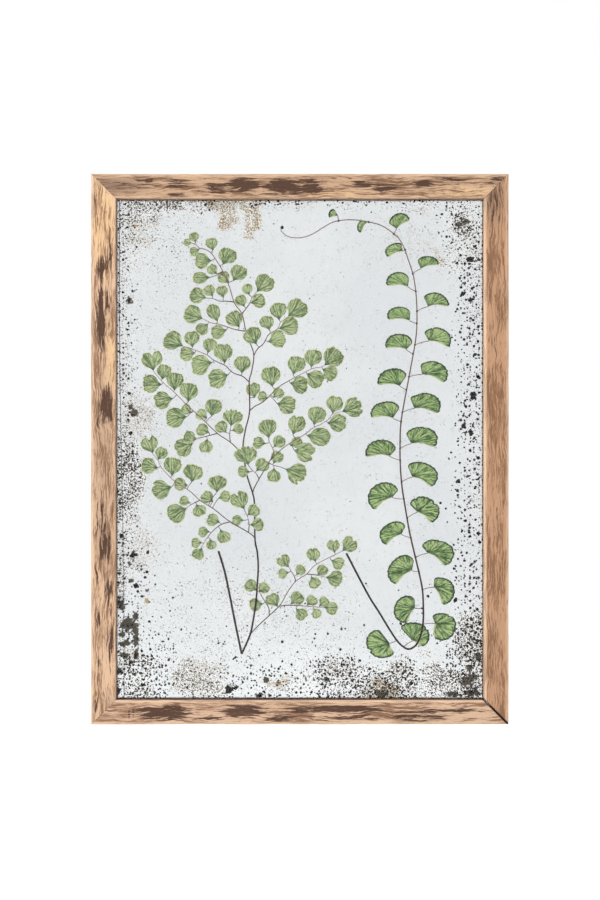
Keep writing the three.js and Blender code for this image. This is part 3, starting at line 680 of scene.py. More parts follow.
def wood_material(name, seed, light, deep, contrast):
    """Reclaimed wood: tan fibres with streaks of old dark surface, light from wear at the arrises.
    It also carries painted light on lit inner walls and in the rabbet, and painted shade on shaded
    inner walls and along the open joint. The map runs in cm: along the grain, and round the rail."""
    made, tree = new_material(name)
    shifted = tree.vector("ADD", tree.surface_map(), (seed * 7.3, seed * 3.1, 0.0))
    sway = tree.noise(tree.scaled(shifted, 0.42, 0.8), 1.0, 2.0, 0.5) - 0.5
    along, around, _ = tree.parts(shifted)
    waved = tree.join(along, around + 0.7 * sway)
    fibres = tree.noise(tree.scaled(waved, 0.85, 9.5), 1.0, 4.0, 0.8)
    streaks = tree.noise(tree.scaled(waved, 0.3, 5.8), 1.0, 4.0, 0.7, 0.2)
    cloud = tree.noise(tree.scaled(shifted, 0.25, 0.8), 1.0, 2.0, 0.5)

    shade = 0.55 * fibres + 0.45 * streaks + 0.35 * (cloud - 0.5)
    base = tree.mix(tree.field("warm"), light, WARM_TAN)
    base = tree.mix(tree.between(shade, 0.45, 0.56), base, deep)
    base = tree.mix(tree.between(fibres, 0.57, 0.66, 0.0, 0.75 * contrast), base, DARK_BROWN)
    base = tree.mix(tree.between(fibres, 0.44, 0.34, 0.0, 0.6), base, light)
    base = tree.mix(0.8 * tree.field("grey"), base, GREY_BROWN)

    # The old dark surface, with bare fibres in it and a soft grey round it
    amount = streaks + 0.8 * fibres + 0.36 * tree.field("dark")
    stained = tree.between(amount, 1.14, 1.18)
    base = tree.mix(tree.between(amount, 1.04, 1.16, 0.0, 0.45), base, GREY_BROWN)
    base = tree.mix(stained * tree.between(fibres, 0.42, 0.34, 0.95, 0.35), base, DARK_BROWN)
    # Light from wear at the arrises, together with painted light on lit inner walls and in the
    # rabbet
    wear_and_light = tree.field("wear_and_light") * tree.between(streaks, 0.62, 0.42, 0.4, 0.95)
    base = tree.mix(wear_and_light, base, EDGE_TAN)
    # Painted shade: the opening's inner walls where they lie in shade, and the edges of the open
    # lower right joint
    base = tree.mix(tree.field("wall"), base, DARK_BROWN)
    tree.set(
        Base_Color=base,
        Roughness=tree.between(stained, 0.0, 1.0, 0.72, 0.86),
        Normal=tree.bump(fibres - 0.4 * stained, 0.45, 0.0005),
        Specular_IOR_Level=0.3,
    )
    return made


# Where each rail is stained dark: [from its left or upper end, from its outer edge, half
# length, half width, strength]
DARK_PATCHES = {
    "rail_top": [
        [22, 9, 18, 6, 0.45], [39, 6, 9, 2.5, 0.8], [61, 8, 10, 4, 0.8], [63, 15, 9, 2, 0.7],
        [92, 10, 11, 5, 0.85], [112, 8, 15, 5, 1.1], [141, 10, 18, 6, 1.15], [160, 9, 10, 7, 1.0],
        [199, 8, 9, 3.5, 0.9], [214, 11, 11, 3.5, 0.9], [243, 8, 10, 3.5, 0.9],
        [262, 4.5, 13, 1.6, 0.8], [296, 5, 7, 3, 0.9], [126, 14, 9, 2, 0.6],
    ],
    "rail_bottom": [
        [6, 11, 3, 3, 0.7], [54, 9, 22, 6, 1.1], [88, 4.5, 12, 1.8, 0.8], [111, 10, 17, 5, 1.1],
        [138, 5, 14, 3, 0.8], [153, 11, 10, 3, 0.9], [182, 11.5, 34, 3.2, 1.15],
        [186, 5.5, 36, 2.8, 0.75], [240, 5, 26, 3.4, 0.85], [246, 10, 22, 2.2, 0.8],
        [270, 11, 14, 3.5, 0.7], [28, 8, 0.8, 7, 0.8], [31, 9, 0.7, 6, 0.8],
    ],
    "rail_left": [
        [68, 9, 9, 7, 0.8], [62, 14, 12, 2.5, 0.8], [106, 7.5, 24, 4, 1.15],
        [93, 12, 10, 2.5, 0.7], [168, 11, 15, 5, 1.15], [180, 7, 9, 3, 0.6], [250, 9, 26, 6, 0.6],
        [272, 11, 13, 5, 0.85], [294, 4.5, 8, 1.8, 0.8], [304, 13, 11, 3.5, 0.8],
        [324, 6, 9, 2, 0.8], [341, 15, 13, 3.5, 0.8], [357, 6, 6, 1.8, 0.7], [388, 4, 6, 2, 0.9],
        [396, 10, 3, 4, 0.8], [20, 3, 9, 1.4, 0.6],
    ],
    "rail_right": [
        [20, 11, 13, 7, 0.75], [12, 5, 7, 3, 0.6], [120, 9, 26, 3, 0.3], [250, 10, 30, 3, 0.3],
        [345, 13, 12, 2.5, 0.45],
    ],
}
WARM_PATCHES = {
    "rail_left": [[34, 9, 34, 9, 1.0], [135, 15, 24, 4, 0.9]],
    "rail_top": [[180, 15, 30, 3, 0.5], [275, 14, 20, 4, 0.6]],
}
GREY_PATCHES = {
    "rail_top": [[20, 9, 20, 6, 0.75]],
    "rail_right": [[22, 11, 16, 7, 0.5]],
    "rail_left": [[268, 10, 20, 6, 0.6], [392, 14, 12, 5, 0.4], [200, 10, 75, 9, 0.3]],
}


def patches(rows, along, inward):
    """How strongly soft oval patches cover each point."""
    total = np.zeros_like(along)
    for middle, across, half_length, half_width, strength in rows:
        reach = np.hypot((along - middle) / half_length, (inward - across) / half_width)
        total = np.maximum(total, strength * np.clip(1.5 - reach, 0, 1.15))
    return total


def rail_section():
    """Points round a rail: from the outer edge inward, and from the wall to the front."""
    def line(start, end, step):
        count = max(1, int(round(math.dist(start, end) / step)))
        share = np.arange(count)[:, None] / count
        return np.array(start) * (1 - share) + np.array(end) * share

    def arc(middle, radius, start, end, steps):
        angles = np.radians(np.linspace(start, end, steps, endpoint=False))
        return np.array(middle) + radius * np.stack([np.cos(angles), np.sin(angles)], axis=1)

    rabbet = RAIL_FACE - RABBET_WIDTH
    lip = -LIP_BACK
    return np.vstack([
        line((0, 0), (rabbet, 0), 1.4),
        line((rabbet, 0), (rabbet, lip), 2),
        line((rabbet, lip), (RAIL_FACE, lip), 1.5),
        line((RAIL_FACE, lip), (RAIL_FACE, FRAME_DEPTH - INNER_ARRIS), 0.8),
        arc((RAIL_FACE - INNER_ARRIS, FRAME_DEPTH - INNER_ARRIS), INNER_ARRIS, 0, 90, 4),
        line((RAIL_FACE - INNER_ARRIS, FRAME_DEPTH), (OUTER_ARRIS, FRAME_DEPTH), 0.6),
        arc((OUTER_ARRIS, FRAME_DEPTH - OUTER_ARRIS), OUTER_ARRIS, 90, 180, 6),
        line((0, FRAME_DEPTH - OUTER_ARRIS), (0, 0), 1.0),
    ])


# The mitres' open joints: how far each end of a rail stands back at the front face, and how
# deep the opening goes. The lower right joint has opened most.
JOINT_GAP = 0.12
JOINT_DEPTH = 2.5
WIDE_JOINT_GAP = 0.75
WIDE_JOINT_DEPTH = 9
RAIL_STEP = 1.1
MOST_RELIEF = 0.6

# Each rail: its length, whether its end meets the lower right joint, how light its inner arris and
# wall are, from wear and as painted light, and how dark the wall behind that is painted as shade,
# its wood's seed, light and deep colour and contrast, and where a distance along it and a distance
# inward lie in the frame
RAILS = {
    "rail_bottom": {
        "length": FRAME_WIDTH, "wide": True, "inner_wear_and_light": 0.8, "wall_shade": 0.9,
        "seed": 1, "wood": (colour(204, 170, 142), colour(136, 101, 77), 0.9),
        "place": lambda along, inward: (FRAME_LEFT + along, FRAME_BOTTOM + inward),
    },
    "rail_left": {
        "length": FRAME_HEIGHT, "wide": False, "inner_wear_and_light": 0.2, "wall_shade": 0.35,
        "seed": 2, "wood": (colour(212, 177, 146), colour(140, 105, 78), 0.85),
        "place": lambda along, inward: (FRAME_LEFT + inward, FRAME_TOP - along),
    },
    "rail_top": {
        "length": FRAME_WIDTH, "wide": False, "inner_wear_and_light": 0.4, "wall_shade": 0.3,
        "seed": 3, "wood": (colour(192, 158, 128), colour(124, 92, 68), 0.95),
        "place": lambda along, inward: (FRAME_LEFT + along, FRAME_TOP - inward),
    },
    "rail_right": {
        "length": FRAME_HEIGHT, "wide": True, "inner_wear_and_light": 1.0, "wall_shade": 0.0,
        "seed": 4, "wood": (colour(182, 142, 110), colour(132, 95, 68), 0.4),
        "place": lambda along, inward: (FRAME_RIGHT - inward, FRAME_TOP - along),
    },
}


def joint_gap(forward, wide):
    """How far a rail's end stands back from its mitre, at a distance in front of the wall."""
    gap, depth = (WIDE_JOINT_GAP, WIDE_JOINT_DEPTH) if wide else (JOINT_GAP, JOINT_DEPTH)
    return gap * smooth_step(FRAME_DEPTH - depth, FRAME_DEPTH, forward)


def outer_arris(inward):
    return smooth_step(OUTER_ARRIS + 0.9, 0.6, inward)


def rail_looks(node, length, wide, inner_wear_and_light, wall_shade, along, inward, forward):
    """How dark, warm and grey the wood is, how light from wear and from painted light, and how
    dark the opening's wall is painted as shade.
    """
    tables = {"dark": DARK_PATCHES, "warm": WARM_PATCHES, "grey": GREY_PATCHES}
    looks = {
        name: patches(table.get(node, []), along, inward) for name, table in tables.items()
    }
    front = smooth_step(FRAME_DEPTH - 6, FRAME_DEPTH - 1, forward)
    inner = smooth_step(RAIL_FACE - 2.8, RAIL_FACE - 1.6, inward)
    # The left rail's arris is lighter along the upper mitre too
    joint_arris = smooth_step(1.5, 0.6, along - inward) if node == "rail_left" else 0
    # Lighter from wear at the outer arris; at the inner arris and wall, wear together with painted
    # light where that wall faces the light
    wear_and_light = np.maximum(outer_arris(inward) * 0.7, inner * inner_wear_and_light)
    wear_and_light = np.maximum(wear_and_light, joint_arris) * front
    # Painted light: the rabbet under the lip is painted light, as far as the inner arris is light
    # and its wall isn't painted dark, so that it shows bright in the mirror
    in_rabbet = (inward > RAIL_FACE - RABBET_WIDTH + 0.1) & (forward < -LIP_BACK + 0.1)
    looks["wear_and_light"] = np.maximum(wear_and_light, np.where(in_rabbet, inner_wear_and_light * (1 - wall_shade), 0))
    # Painted shade: the opening's inner wall is painted dark where it lies in shade, and the lower
    # right joint's edges are painted dark for the shade inside the open gap
    wall = wall_shade * smooth_step(RAIL_FACE - 0.5, RAIL_FACE - 0.2, inward)
    if wide:
        left_over = length - inward - along
        in_joint = smooth_step(WIDE_JOINT_GAP + 0.7, WIDE_JOINT_GAP + 0.3, left_over)
        wall = np.maximum(wall, in_joint)
    looks["wall"] = wall
    return looks


def rail_relief(seed, along, inward, forward, around, dark):
    """How far the surface stands back: nowhere where it meets the wall, the glass or the board."""
    shown = ((forward > -LIP_BACK + 0.1) | (inward < 0.1)) & (forward > 0.5)
    ridges = soft_noise(along / 16, around / 0.9, seed * 10)
    ridges += 0.6 * soft_noise(along / 7, around / 0.5, seed * 10 + 1)
    waves = soft_noise(along / 38, around / 6, seed * 10 + 2)
    chips = smooth_step(0.35, 0.8, soft_noise(along / 9, around / 2.4, seed * 10 + 3))
    depth = 0.1 + 0.09 * waves + 0.1 * (0.5 + dark) * smooth_step(0.1, 0.9, ridges)
    depth += 0.28 * chips * outer_arris(inward) + 0.12 * dark
    return np.clip(depth, 0, MOST_RELIEF) * shown


def into_the_wood(section):
    """The direction into the wood at each point of a rail's section."""
    inward, forward = section.T
    tangent = np.roll(section, -1, axis=0) - np.roll(section, 1, axis=0)
    normal = np.stack([-tangent[:, 1], tangent[:, 0]], axis=1)
    normal /= np.linalg.norm(normal, axis=1)[:, None]
    facing_out = np.sum(normal * (section - section.mean(axis=0)), axis=1) > 0
    normal[facing_out] *= -1
    normal[(inward > RAIL_FACE - 0.01) & (forward > -LIP_BACK)] = (-1, 0)
    return normal


def rail_piece(node, length, wide, inner_wear_and_light, wall_shade, seed, wood, place):
    section = rail_section()
    start = section[:, 0] + joint_gap(section[:, 1], False)
    end = length - section[:, 0] - joint_gap(section[:, 1], wide)
    steps = int(length / RAIL_STEP)
    share = np.linspace(0, 1, steps + 1)[:, None]
    along = start * (1 - share) + end * share
    inward, forward, around = (
        np.broadcast_to(row, along.shape) for row in (*section.T, travelled(section))
    )
    looks = rail_looks(node, length, wide, inner_wear_and_light, wall_shade, along, inward, forward)
    depth = rail_relief(seed, along, inward, forward, around, looks["dark"])
    into = into_the_wood(section)
    x, z = place(along, inward + depth * into[:, 0])
    points = np.stack([x, -(forward + depth * into[:, 1]), z], axis=2)
    build = Build(*looks)
    build.add(
        points, closed_faces(steps + 1, len(section)), np.stack([along, around], axis=2) / 10,
        **looks,
    )
    material = wood_material(f"reclaimed_wood_{seed}", seed, *wood)
    return build.piece(f"{node}_wood", [material], "wood", [node])


# Leaves

# The light, middle and dark green of each frond's leaves
LEAF_GREENS = {
    "left": (colour(212, 222, 174), colour(132, 158, 100), colour(46, 80, 38)),
    "right": (colour(200, 222, 154), colour(84, 135, 68), colour(18, 54, 30)),
}
RIM_YELLOW = colour(226, 224, 176)

# How many main veins a leaf of each frond has across it, and how wide its fan is
FAN_VEINS = {"left": 3.5, "right": 5.5}
FAN_RADIANS = 2.0

# Where a vein forks on its way out from the base, and how far apart its branches end, as a
# share of the space between two veins
FORKS = ((0.12, 0.55, 0.25), (0.42, 0.85, 0.125))


def leaf_material(name, side):
    """A dry pressed leaflet. The map runs across the fan and out from its base. Its pale veins
    fork twice on the way out. The left frond's leaves have a yellow rim inside a dark line, the
    right one's a dark upper margin and a yellow lower one."""
    light, middle, dark = LEAF_GREENS[side]
    veins = FAN_VEINS[side]
    made, tree = new_material(name)
    surface = tree.surface_map()
    across, out, _ = tree.parts(surface)
    size = tree.field("size")
    tone = tree.field("tone")
    place = tree.place()
    blotches = tree.noise(place, 180.0, 3.0, 0.6)
    fine = tree.noise(place, 900.0, 3.0, 0.6)
    own = tree.vector("ADD", surface, 37.0 * tone)
    streaks = tree.noise(tree.scaled(own, 3.4 * veins, 1.6), 1.0, 3.0, 0.7)

    # The distance to the nearest vein, in mm
    wavy = across + 0.06 * (streaks - 0.5)
    away = abs(tree.math("FRACT", wavy * veins) - 0.5)
    for start, end, spread in FORKS:
        away = abs(away - tree.between(out, start, end, 0.0, spread))
    width_here = out * size * FAN_RADIANS
    vein = tree.between(away * (width_here / veins), 0.55, 0.25)
    from_rim = (1.0 - out) * size

    paler = tree.mix(0.35, middle, light)
    ground = tree.mix(tree.between(blotches, 0.35, 0.65, 0.1, 0.9), middle, paler)
    ground = tree.mix(0.3 * tone, ground, dark)
    furrow = tree.between(streaks, 0.51, 0.59) * tree.between(out, 0.3, 1.0, 0.85, 0.5)
    ground = tree.mix(furrow, ground, dark)
    pale = vein * tree.between(streaks, 0.58, 0.44, 0.05, 0.85)
    ground = tree.mix(pale * tree.between(out, 0.1, 0.4), ground, light)
    ground = tree.mix(tree.between(out, 0.32, 0.05, 0.0, 0.75), ground, dark)
    if side == "right":
        upper = tree.between(from_rim + 0.7 * fine, 1.85, 1.35)
        inner = tree.between(across * width_here, 0.9, 0.5, 0.0, 0.7)
        ground = tree.mix(0.95 * tree.highest(upper, inner), ground, dark)
        lower = tree.between((1.0 - across) * width_here, 0.7, 0.35, 0.0, 0.75)
        ground = tree.mix(lower, ground, RIM_YELLOW)
    else:
        line = tree.between(from_rim, 1.5, 1.0) * tree.between(across, 0.2, 0.8, 0.7, 0.2)
        ground = tree.mix(line, ground, dark)
        rim = tree.between(from_rim + 0.4 * fine, 0.85, 0.6)
        ground = tree.mix(0.85 * rim, ground, RIM_YELLOW)
    ground = tree.mix(tree.between(fine, 0.54, 0.66, 0.0, 0.45), ground, dark)
    ground = tree.mix(tree.between(fine, 0.46, 0.34, 0.0, 0.35), ground, light)
    tree.set(
        Base_Color=ground,
        Roughness=tree.between(blotches, 0.3, 0.7, 0.62, 0.8),
        Normal=tree.bump(0.6 * vein + 0.4 * fine, 0.3, 0.0001),
        Specular_IOR_Level=0.25,
    )
    return made


STEM_BLACK = colour(44, 30, 28)
STEM_BROWN = colour(92, 62, 52)
STEM_PALE = colour(176, 140, 116)


def stem_material():
    """A dry, wiry fern stem: nearly black low down, brown and thinner above."""
    made, tree = new_material("wiry_stem")
    fibres = tree.noise(tree.scaled(tree.surface_map(), 0.5, 6.0), 3.0, 3.0, 0.6)
    age = tree.field("age") + 0.3 * (fibres - 0.5)
    shade = tree.mix(tree.between(age, 0.0, 0.45), STEM_PALE, STEM_BROWN)
    shade = tree.mix(tree.between(age, 0.3, 0.8), shade, STEM_BLACK)
    tree.set(
        Base_Color=shade,
        Roughness=tree.between(fibres, 0.3, 0.7, 0.4, 0.6),
        Normal=tree.bump(fibres, 0.3, 0.0001),
        Specular_IOR_Level=0.3,
    )
    return made


LEAF_ROWS = 7
LEAFLET_COLUMNS = 45
PINNA_COLUMNS = 73


def blade_points(base, margin, across, out, reach, hollows):
    """The [u, v] points of a blade, in rows from its foot to its margin. Its two side edges are
    hollow, each by a share of its length."""
    spread = margin - base
    middle = spread[len(margin) // 2] / reach[len(margin) // 2]
    sideways = np.array([-middle[1], middle[0]])
    turning = np.sign(spread[0, 0] * spread[-1, 1] - spread[0, 1] * spread[-1, 0]) or 1.0
    foot = base + np.outer(turning * (across - 0.5) * STALK_WIDTH * 0.8, sideways)
    flat = foot + out[:, :, None] * (margin - foot)
    for end, edge_share, inner_side in ((0, 1 - across, 1), (-1, across, -1)):
        along_edge = spread[end] / reach[end]
        inward = turning * inner_side * np.array([-along_edge[1], along_edge[0]])
        pull = hollows[end] * 4 * out * (1 - out) ** 1.5 * edge_share**3 * reach[end]
        flat = flat + pull[:, :, None] * inward
    return flat


def add_blade(build, base, margin, lift, tone, seed, hollows=LEAFLET_HOLLOWS):
    """A thin closed blade from its base to the points of its margin."""
    base = np.asarray(base, float)
    columns = len(margin)
    across = np.linspace(0, 1, columns)
    out = (np.linspace(0.0, 1.0, LEAF_ROWS) ** 0.8)[:, None]
    reach = np.linalg.norm(margin - base, axis=1)
    flat = blade_points(base, margin, across, out, reach, hollows)
    edge = np.minimum(np.minimum(across, 1 - across) * 6, (1 - out) * 4).clip(0, 1)
    wave = soft_noise(flat[:, :, 0] / 5, flat[:, :, 1] / 5, seed)
    thickness = LEAF_RIM + (LEAF_THICKNESS - LEAF_RIM) * edge
    top = lift + thickness + 0.06 * (1 + wave) * out
    bottom = lift + 0.03 * (1 + wave) * out
    upper = on_mirror(flat, top.ravel())
    under = on_mirror(flat, bottom.ravel())
    size = len(upper)
    faces = grid_faces(LEAF_ROWS, columns)
    under_faces = [[corner + size for corner in reversed(face)] for face in faces]
    rim = grid_rim(LEAF_ROWS, columns)
    sides = [[a, b, b + size, a + size] for a, b in zip(rim, rim[1:] + rim[:1])]
    coordinates = np.stack(np.broadcast_arrays(across, out), axis=2).reshape(-1, 2)
    build.add(
        np.vstack([upper, under]), faces + under_faces + sides, np.vstack([coordinates] * 2),
        size=np.tile(reach, 2 * LEAF_ROWS), tone=tone,
    )


# The outline of a usual fan: its reach, as a share of its length, over the turn from its middle
# to its side, as a share of its half angle
FAN_TURNS = (0, 0.25, 0.45, 0.65, 0.85, 1)
FAN_REACH = (0.98, 1.0, 0.97, 0.87, 0.69, 0.5)


def leaflet_margin(row, seed):
    """The margin of a fan: a few rounded lobes with notches between them, and fine teeth."""
    u, v, length, heading = row[:4]
    width = row[4] if len(row) > 4 else USUAL_WIDTH * length
    chance = np.random.default_rng(seed)
    share = np.linspace(-1, 1, LEAFLET_COLUMNS)
    turn = chance.uniform(50, 60) * share
    curve = spline(np.column_stack([FAN_TURNS, FAN_REACH]), 8)
    radius = np.interp(np.abs(share), curve[:, 0], curve[:, 1])
    lobes = chance.integers(3, 6)
    wave = np.abs(np.sin((share + 1) / 2 * math.pi * lobes + chance.uniform(-0.5, 0.5)))
    radius *= 1 - chance.uniform(0.05, 0.1) * (1 - wave**0.45)
    crenations = np.abs(np.sin((share + 1) / 2 * math.pi * chance.integers(8, 12)))
    radius *= 1 - 0.045 * (1 - crenations**0.6) - 0.02 * chance.random(LEAFLET_COLUMNS)
    radius *= 1 + chance.uniform(-0.09, 0.09) * share
    for middle, depth, spread in DEEP_NOTCHES.get((u, v), []):
        radius *= 1 - depth * np.clip(1 - np.abs(turn - middle) / spread, 0, 1) ** 1.3
    ahead = radius * np.cos(np.radians(turn))
    aside = radius * np.sin(np.radians(turn))
    ahead *= length / ahead.max()
    aside *= width / (aside.max() - aside.min())
    forth = direction(heading)
    left = direction(heading + 90)
    return np.array([u, v]) + np.outer(ahead, forth) + np.outer(aside, left)


def pinna_margin(row, number):
    """The margin of a half-moon pinna: measured distances from its base at equal turns, with
    shallow teeth and the deeper notches that some have."""
    u, v, _, _, inner_heading, tip_heading, distances = row
    chance = np.random.default_rng(500 + number)
    share = np.linspace(0, 1, PINNA_COLUMNS)
    curve = spline(np.array(distances, float)[:, None], 13)[:, 0]
    radius = np.interp(share, np.linspace(0, 1, len(curve)), curve)
    teeth = np.abs(np.sin(share * math.pi * chance.integers(9, 14) + chance.random() * 3))
    radius *= 1 - 0.035 * (1 - teeth**0.6) - 0.02 * chance.random(PINNA_COLUMNS)
    for middle, depth, spread in PINNA_NOTCHES.get(number, []):
        radius *= 1 - depth * np.clip(1 - np.abs(share - middle) / spread, 0, 1)
    # The two corners of the half moon are round
    corner = 0.16 * np.exp(-share / 0.035) + 0.12 * np.exp(-(1 - share) / 0.03)
    radius *= 1 - corner
    heading = np.radians(inner_heading + (tip_heading - inner_heading) * share)
    return np.column_stack([u + radius * np.cos(heading), v + radius * np.sin(heading)])


# Stems

TUBE_SIDES = 8


def add_tube(build, path, half_widths, half_heights, ages, sides=TUBE_SIDES):
    """A closed stem along [u, v, height] points, with a flattened round section."""
    path = np.asarray(path, float)
    count = len(path)
    half_widths = np.broadcast_to(half_widths, (count,))
    half_heights = np.broadcast_to(half_heights, (count,))
    tangent = np.gradient(path[:, :2], axis=0)
    tangent /= np.linalg.norm(tangent, axis=1)[:, None] + 1e-9
    aside = np.stack([-tangent[:, 1], tangent[:, 0]], axis=1)
    angle = np.arange(sides) * 2 * math.pi / sides
    off_middle = (half_widths[:, None] * np.cos(angle))[:, :, None]
    flat = path[:, None, :2] + off_middle * aside[:, None, :]
    height = path[:, 2][:, None] + half_heights[:, None] * np.sin(angle)
    along = travelled(path[:, :2])
    coordinates = np.stack(np.broadcast_arrays(along[:, None], angle / math.pi), axis=2)
    build.add(
        on_mirror(flat, height.ravel()), closed_faces(count, sides), coordinates, part=1,
        age=np.repeat(np.broadcast_to(ages, (count,)), sides), size=1.0,
    )


STEM_STEP = 1.4
SPLINE_STEPS = 6


def stem_path(points):
    return evenly_spaced(spline(points, SPLINE_STEPS), STEM_STEP)


def add_stem(build, path, height, widths, half_heights, ages, age_places=(0, 1)):
    """A stem along a path. Its widths and half heights are those of its two ends, and its ages
    are given at places from 0 to 1 along it."""
    count = len(path)
    add_tube(
        build, np.column_stack([path, np.broadcast_to(height, (count,))]),
        np.linspace(*widths, count) / 2, np.linspace(*half_heights, count),
        np.interp(np.linspace(0, 1, count), age_places, ages),
    )


def add_joint(build, point, height, radius, age):
    """A small swelling where a stalk leaves a stem."""
    u, v = point
    span = np.linspace(-1, 1, 6)
    path = np.stack([u + span * radius, np.full(6, v), np.full(6, height)], axis=1)
    swell = radius * np.sqrt(1.02 - span**2)
    add_tube(build, path, swell, swell * 0.7, age)


def stalk_to(build, joint, joint_height, base, base_height, age=STALK_AGE):
    """A stalk from its joint on a stem to the foot of a blade, with a slight bow."""
    joint = np.asarray(joint, float)
    base = np.asarray(base, float)
    length = np.linalg.norm(base - joint)
    if length < SHORTEST_STALK:
        return
    share = np.linspace(0, 1, max(4, int(length / 1.2) + 2))
    bow = 0.04 * length * np.sin(share * math.pi)
    aside = np.array([joint[1] - base[1], base[0] - joint[0]]) / length
    flat = joint + share[:, None] * (base - joint) + bow[:, None] * aside
    height = joint_height + (base_height - joint_height) * smooth_step(0, 1, share)
    add_tube(
        build, np.column_stack([flat, height]), STALK_HALF_WIDTH, STALK_HALF_HEIGHT,
        age + 0.35 * smooth_step(0.6, 1.0, share), sides=6,
    )


def add_leaflet(build, row, lift, seed, wave_seed, stems, stem_height):
    """A leaflet with its stalk, which leaves the nearest point of the stems."""
    base = row[:2]
    add_blade(build, base, leaflet_margin(row, seed), lift, tone_of(seed), wave_seed)
    stalk_to(build, nearest_on(stems, base), stem_height, base, lift + STALK_LIFT)


def leaf_lift(number, layers):
    """The height of a leaf's underside: neighbours lie in turn in different layers."""
    return LEAF_LIFT + LEAF_STEP * (number % layers)


def add_branch(build, stems, leaflets, over_stem, seed):
    for number, points in enumerate(stems):
        path = stem_path(points)
        count = len(path)
        rise = (MAIN_STEM_HEIGHT - BRANCH_HEIGHT) if number == 0 else 0
        share = np.linspace(0, 1, count)
        height = BRANCH_HEIGHT + rise * smooth_step(3.0 / count, 0.0, share)
        add_stem(build, path, height, BRANCH_WIDTH, BRANCH_HALF_HEIGHTS, BRANCH_AGES)
    for number, row in enumerate(leaflets + over_stem):
        chance = seed * 100 + number
        lift = leaf_lift(number, 3) if number < len(leaflets) else OVER_STEM_LIFT
        add_leaflet(build, row, lift, chance, chance, stems, BRANCH_HEIGHT)


def tone_of(seed):
    """How dark a leaflet is, from 0 to 1."""
    return float(np.random.default_rng(seed + 9000).random())


def frond_build():
    return Build("size", "tone", "age")


def pressed_piece(build, node, leaf, stem, slot):
    return build.piece(f"{node}_pressed", [leaf, stem], slot, [node], LEAF_SHARP_DEGREES)


def left_frond(leaf, stem):
    for number, (node, branch) in enumerate(BRANCHES.items(), 1):
        build = frond_build()
        add_branch(build, *branch, number)
        pressed_piece(build, node, leaf, stem, "left_leaf")

    build = frond_build()
    add_stem(
        build, stem_path(LEFT_STEM), MAIN_STEM_HEIGHT, LEFT_STEM_WIDTH,
        LEFT_STEM_HALF_HEIGHTS, LEFT_STEM_AGES, LEFT_AGE_PLACES,
    )
    add_stem(
        build, stem_path(FOLDED_STIPE), MAIN_STEM_HEIGHT, FOLDED_STIPE_WIDTH,
        FOLDED_STIPE_HALF_HEIGHTS, (1.0, 1.0),
    )
    for number, row in enumerate(LEFT_STEM_LEAFLETS):
        lift = leaf_lift(number, 3)
        add_leaflet(build, row, lift, 50 + number, number, [LEFT_STEM], MAIN_STEM_HEIGHT)
    pressed_piece(build, "left_frond_stem", leaf, stem, "left_leaf")


def right_frond(leaf, stem):
    build = frond_build()
    add_stem(
        build, stem_path(RIGHT_STEM), RIGHT_STEM_HEIGHT, RIGHT_STEM_WIDTH,
        RIGHT_STEM_HALF_HEIGHTS, RIGHT_STEM_AGES, RIGHT_AGE_PLACES,
    )
    for row in PINNAE:
        add_joint(build, row[2:4], RIGHT_STEM_HEIGHT, JOINT_RADIUS, JOINT_AGE)
    add_joint(build, RIGHT_STEM[0], RIGHT_STEM_HEIGHT, TIP_RADIUS, 1.0)
    pressed_piece(build, "right_frond_stem", leaf, stem, "stem")

    for number, row in enumerate(PINNAE, 1):
        build = frond_build()
        lift = leaf_lift(number, 2)
        if number == LIFTED_PINNA:
            lift += LEAF_THICKNESS + LEAF_STEP
        base = row[:2]
        add_blade(
            build, base, pinna_margin(row, number), lift, tone_of(number), number, PINNA_HOLLOWS,
        )
        stalk_to(
            build, row[2:4], RIGHT_STEM_HEIGHT, base, lift + STALK_LIFT, PINNA_STALK_AGE,
        )
        pressed_piece(build, f"right_frond_pinna_{number}", leaf, stem, "right_leaf")


# The antiqued mirror

# Where the foxing lies: [left, right, low, high, softness, strength], in mm on the mirror.
# CRUMBS are fine and dark grey, DOTS are round and black, and GOLD_CRUMBS are tan.
CRUMBS = [
    [-9, 50, 357, 375, 4, 0.85], [-9, 32, 346, 375, 6, 0.7], [8, 30, 332, 352, 6, 0.5],
    [-9, 10, 240, 375, 5, 0.5], [-9, 22, 320, 350, 8, 0.45], [-9, 14, 280, 325, 7, 0.42],
    [50, 72, 355, 375, 5, 0.55], [-9, 14, 205, 245, 7, 0.5], [-9, 26, 190, 220, 8, 0.5],
    [-9, 12, 178, 205, 6, 0.75], [-9, 19, 129, 187, 5, 0.85], [-9, 28, 94, 130, 8, 0.45],
    [-9, 8, 76, 130, 4, 0.65], [-9, 30, -9, 34, 8, 0.55], [35, 82, 1, 26, 6, 0.62],
    [82, 114, -9, 15, 6, 0.3], [112, 136, 2, 17, 6, 0.45], [130, 160, 5, 26, 7, 0.5],
    [148, 182, -9, 26, 6, 0.6], [176, 222, -9, 25, 5, 0.72], [220, 276, -9, 24, 6, 0.85],
    [248, 276, -9, 62, 5, 0.9], [250, 276, 60, 330, 8, 0.26], [259, 276, 60, 330, 4, 0.36],
    [240, 276, 300, 375, 9, 0.5], [245, 262, 339, 354, 4, 0.8], [205, 276, 357, 375, 5, 0.5],
    [105, 210, 360, 375, 4, 0.35], [190, 240, 315, 350, 12, 0.22], [-9, 276, -9, 60, 20, 0.26],
    [20, 180, 0, 110, 35, 0.32], [-9, 45, -9, 375, 20, 0.24], [200, 250, 60, 300, 20, 0.12],
    [-9, 62, 300, 375, 22, 0.34], [-9, 276, -9, 375, 20, 0.13],
]
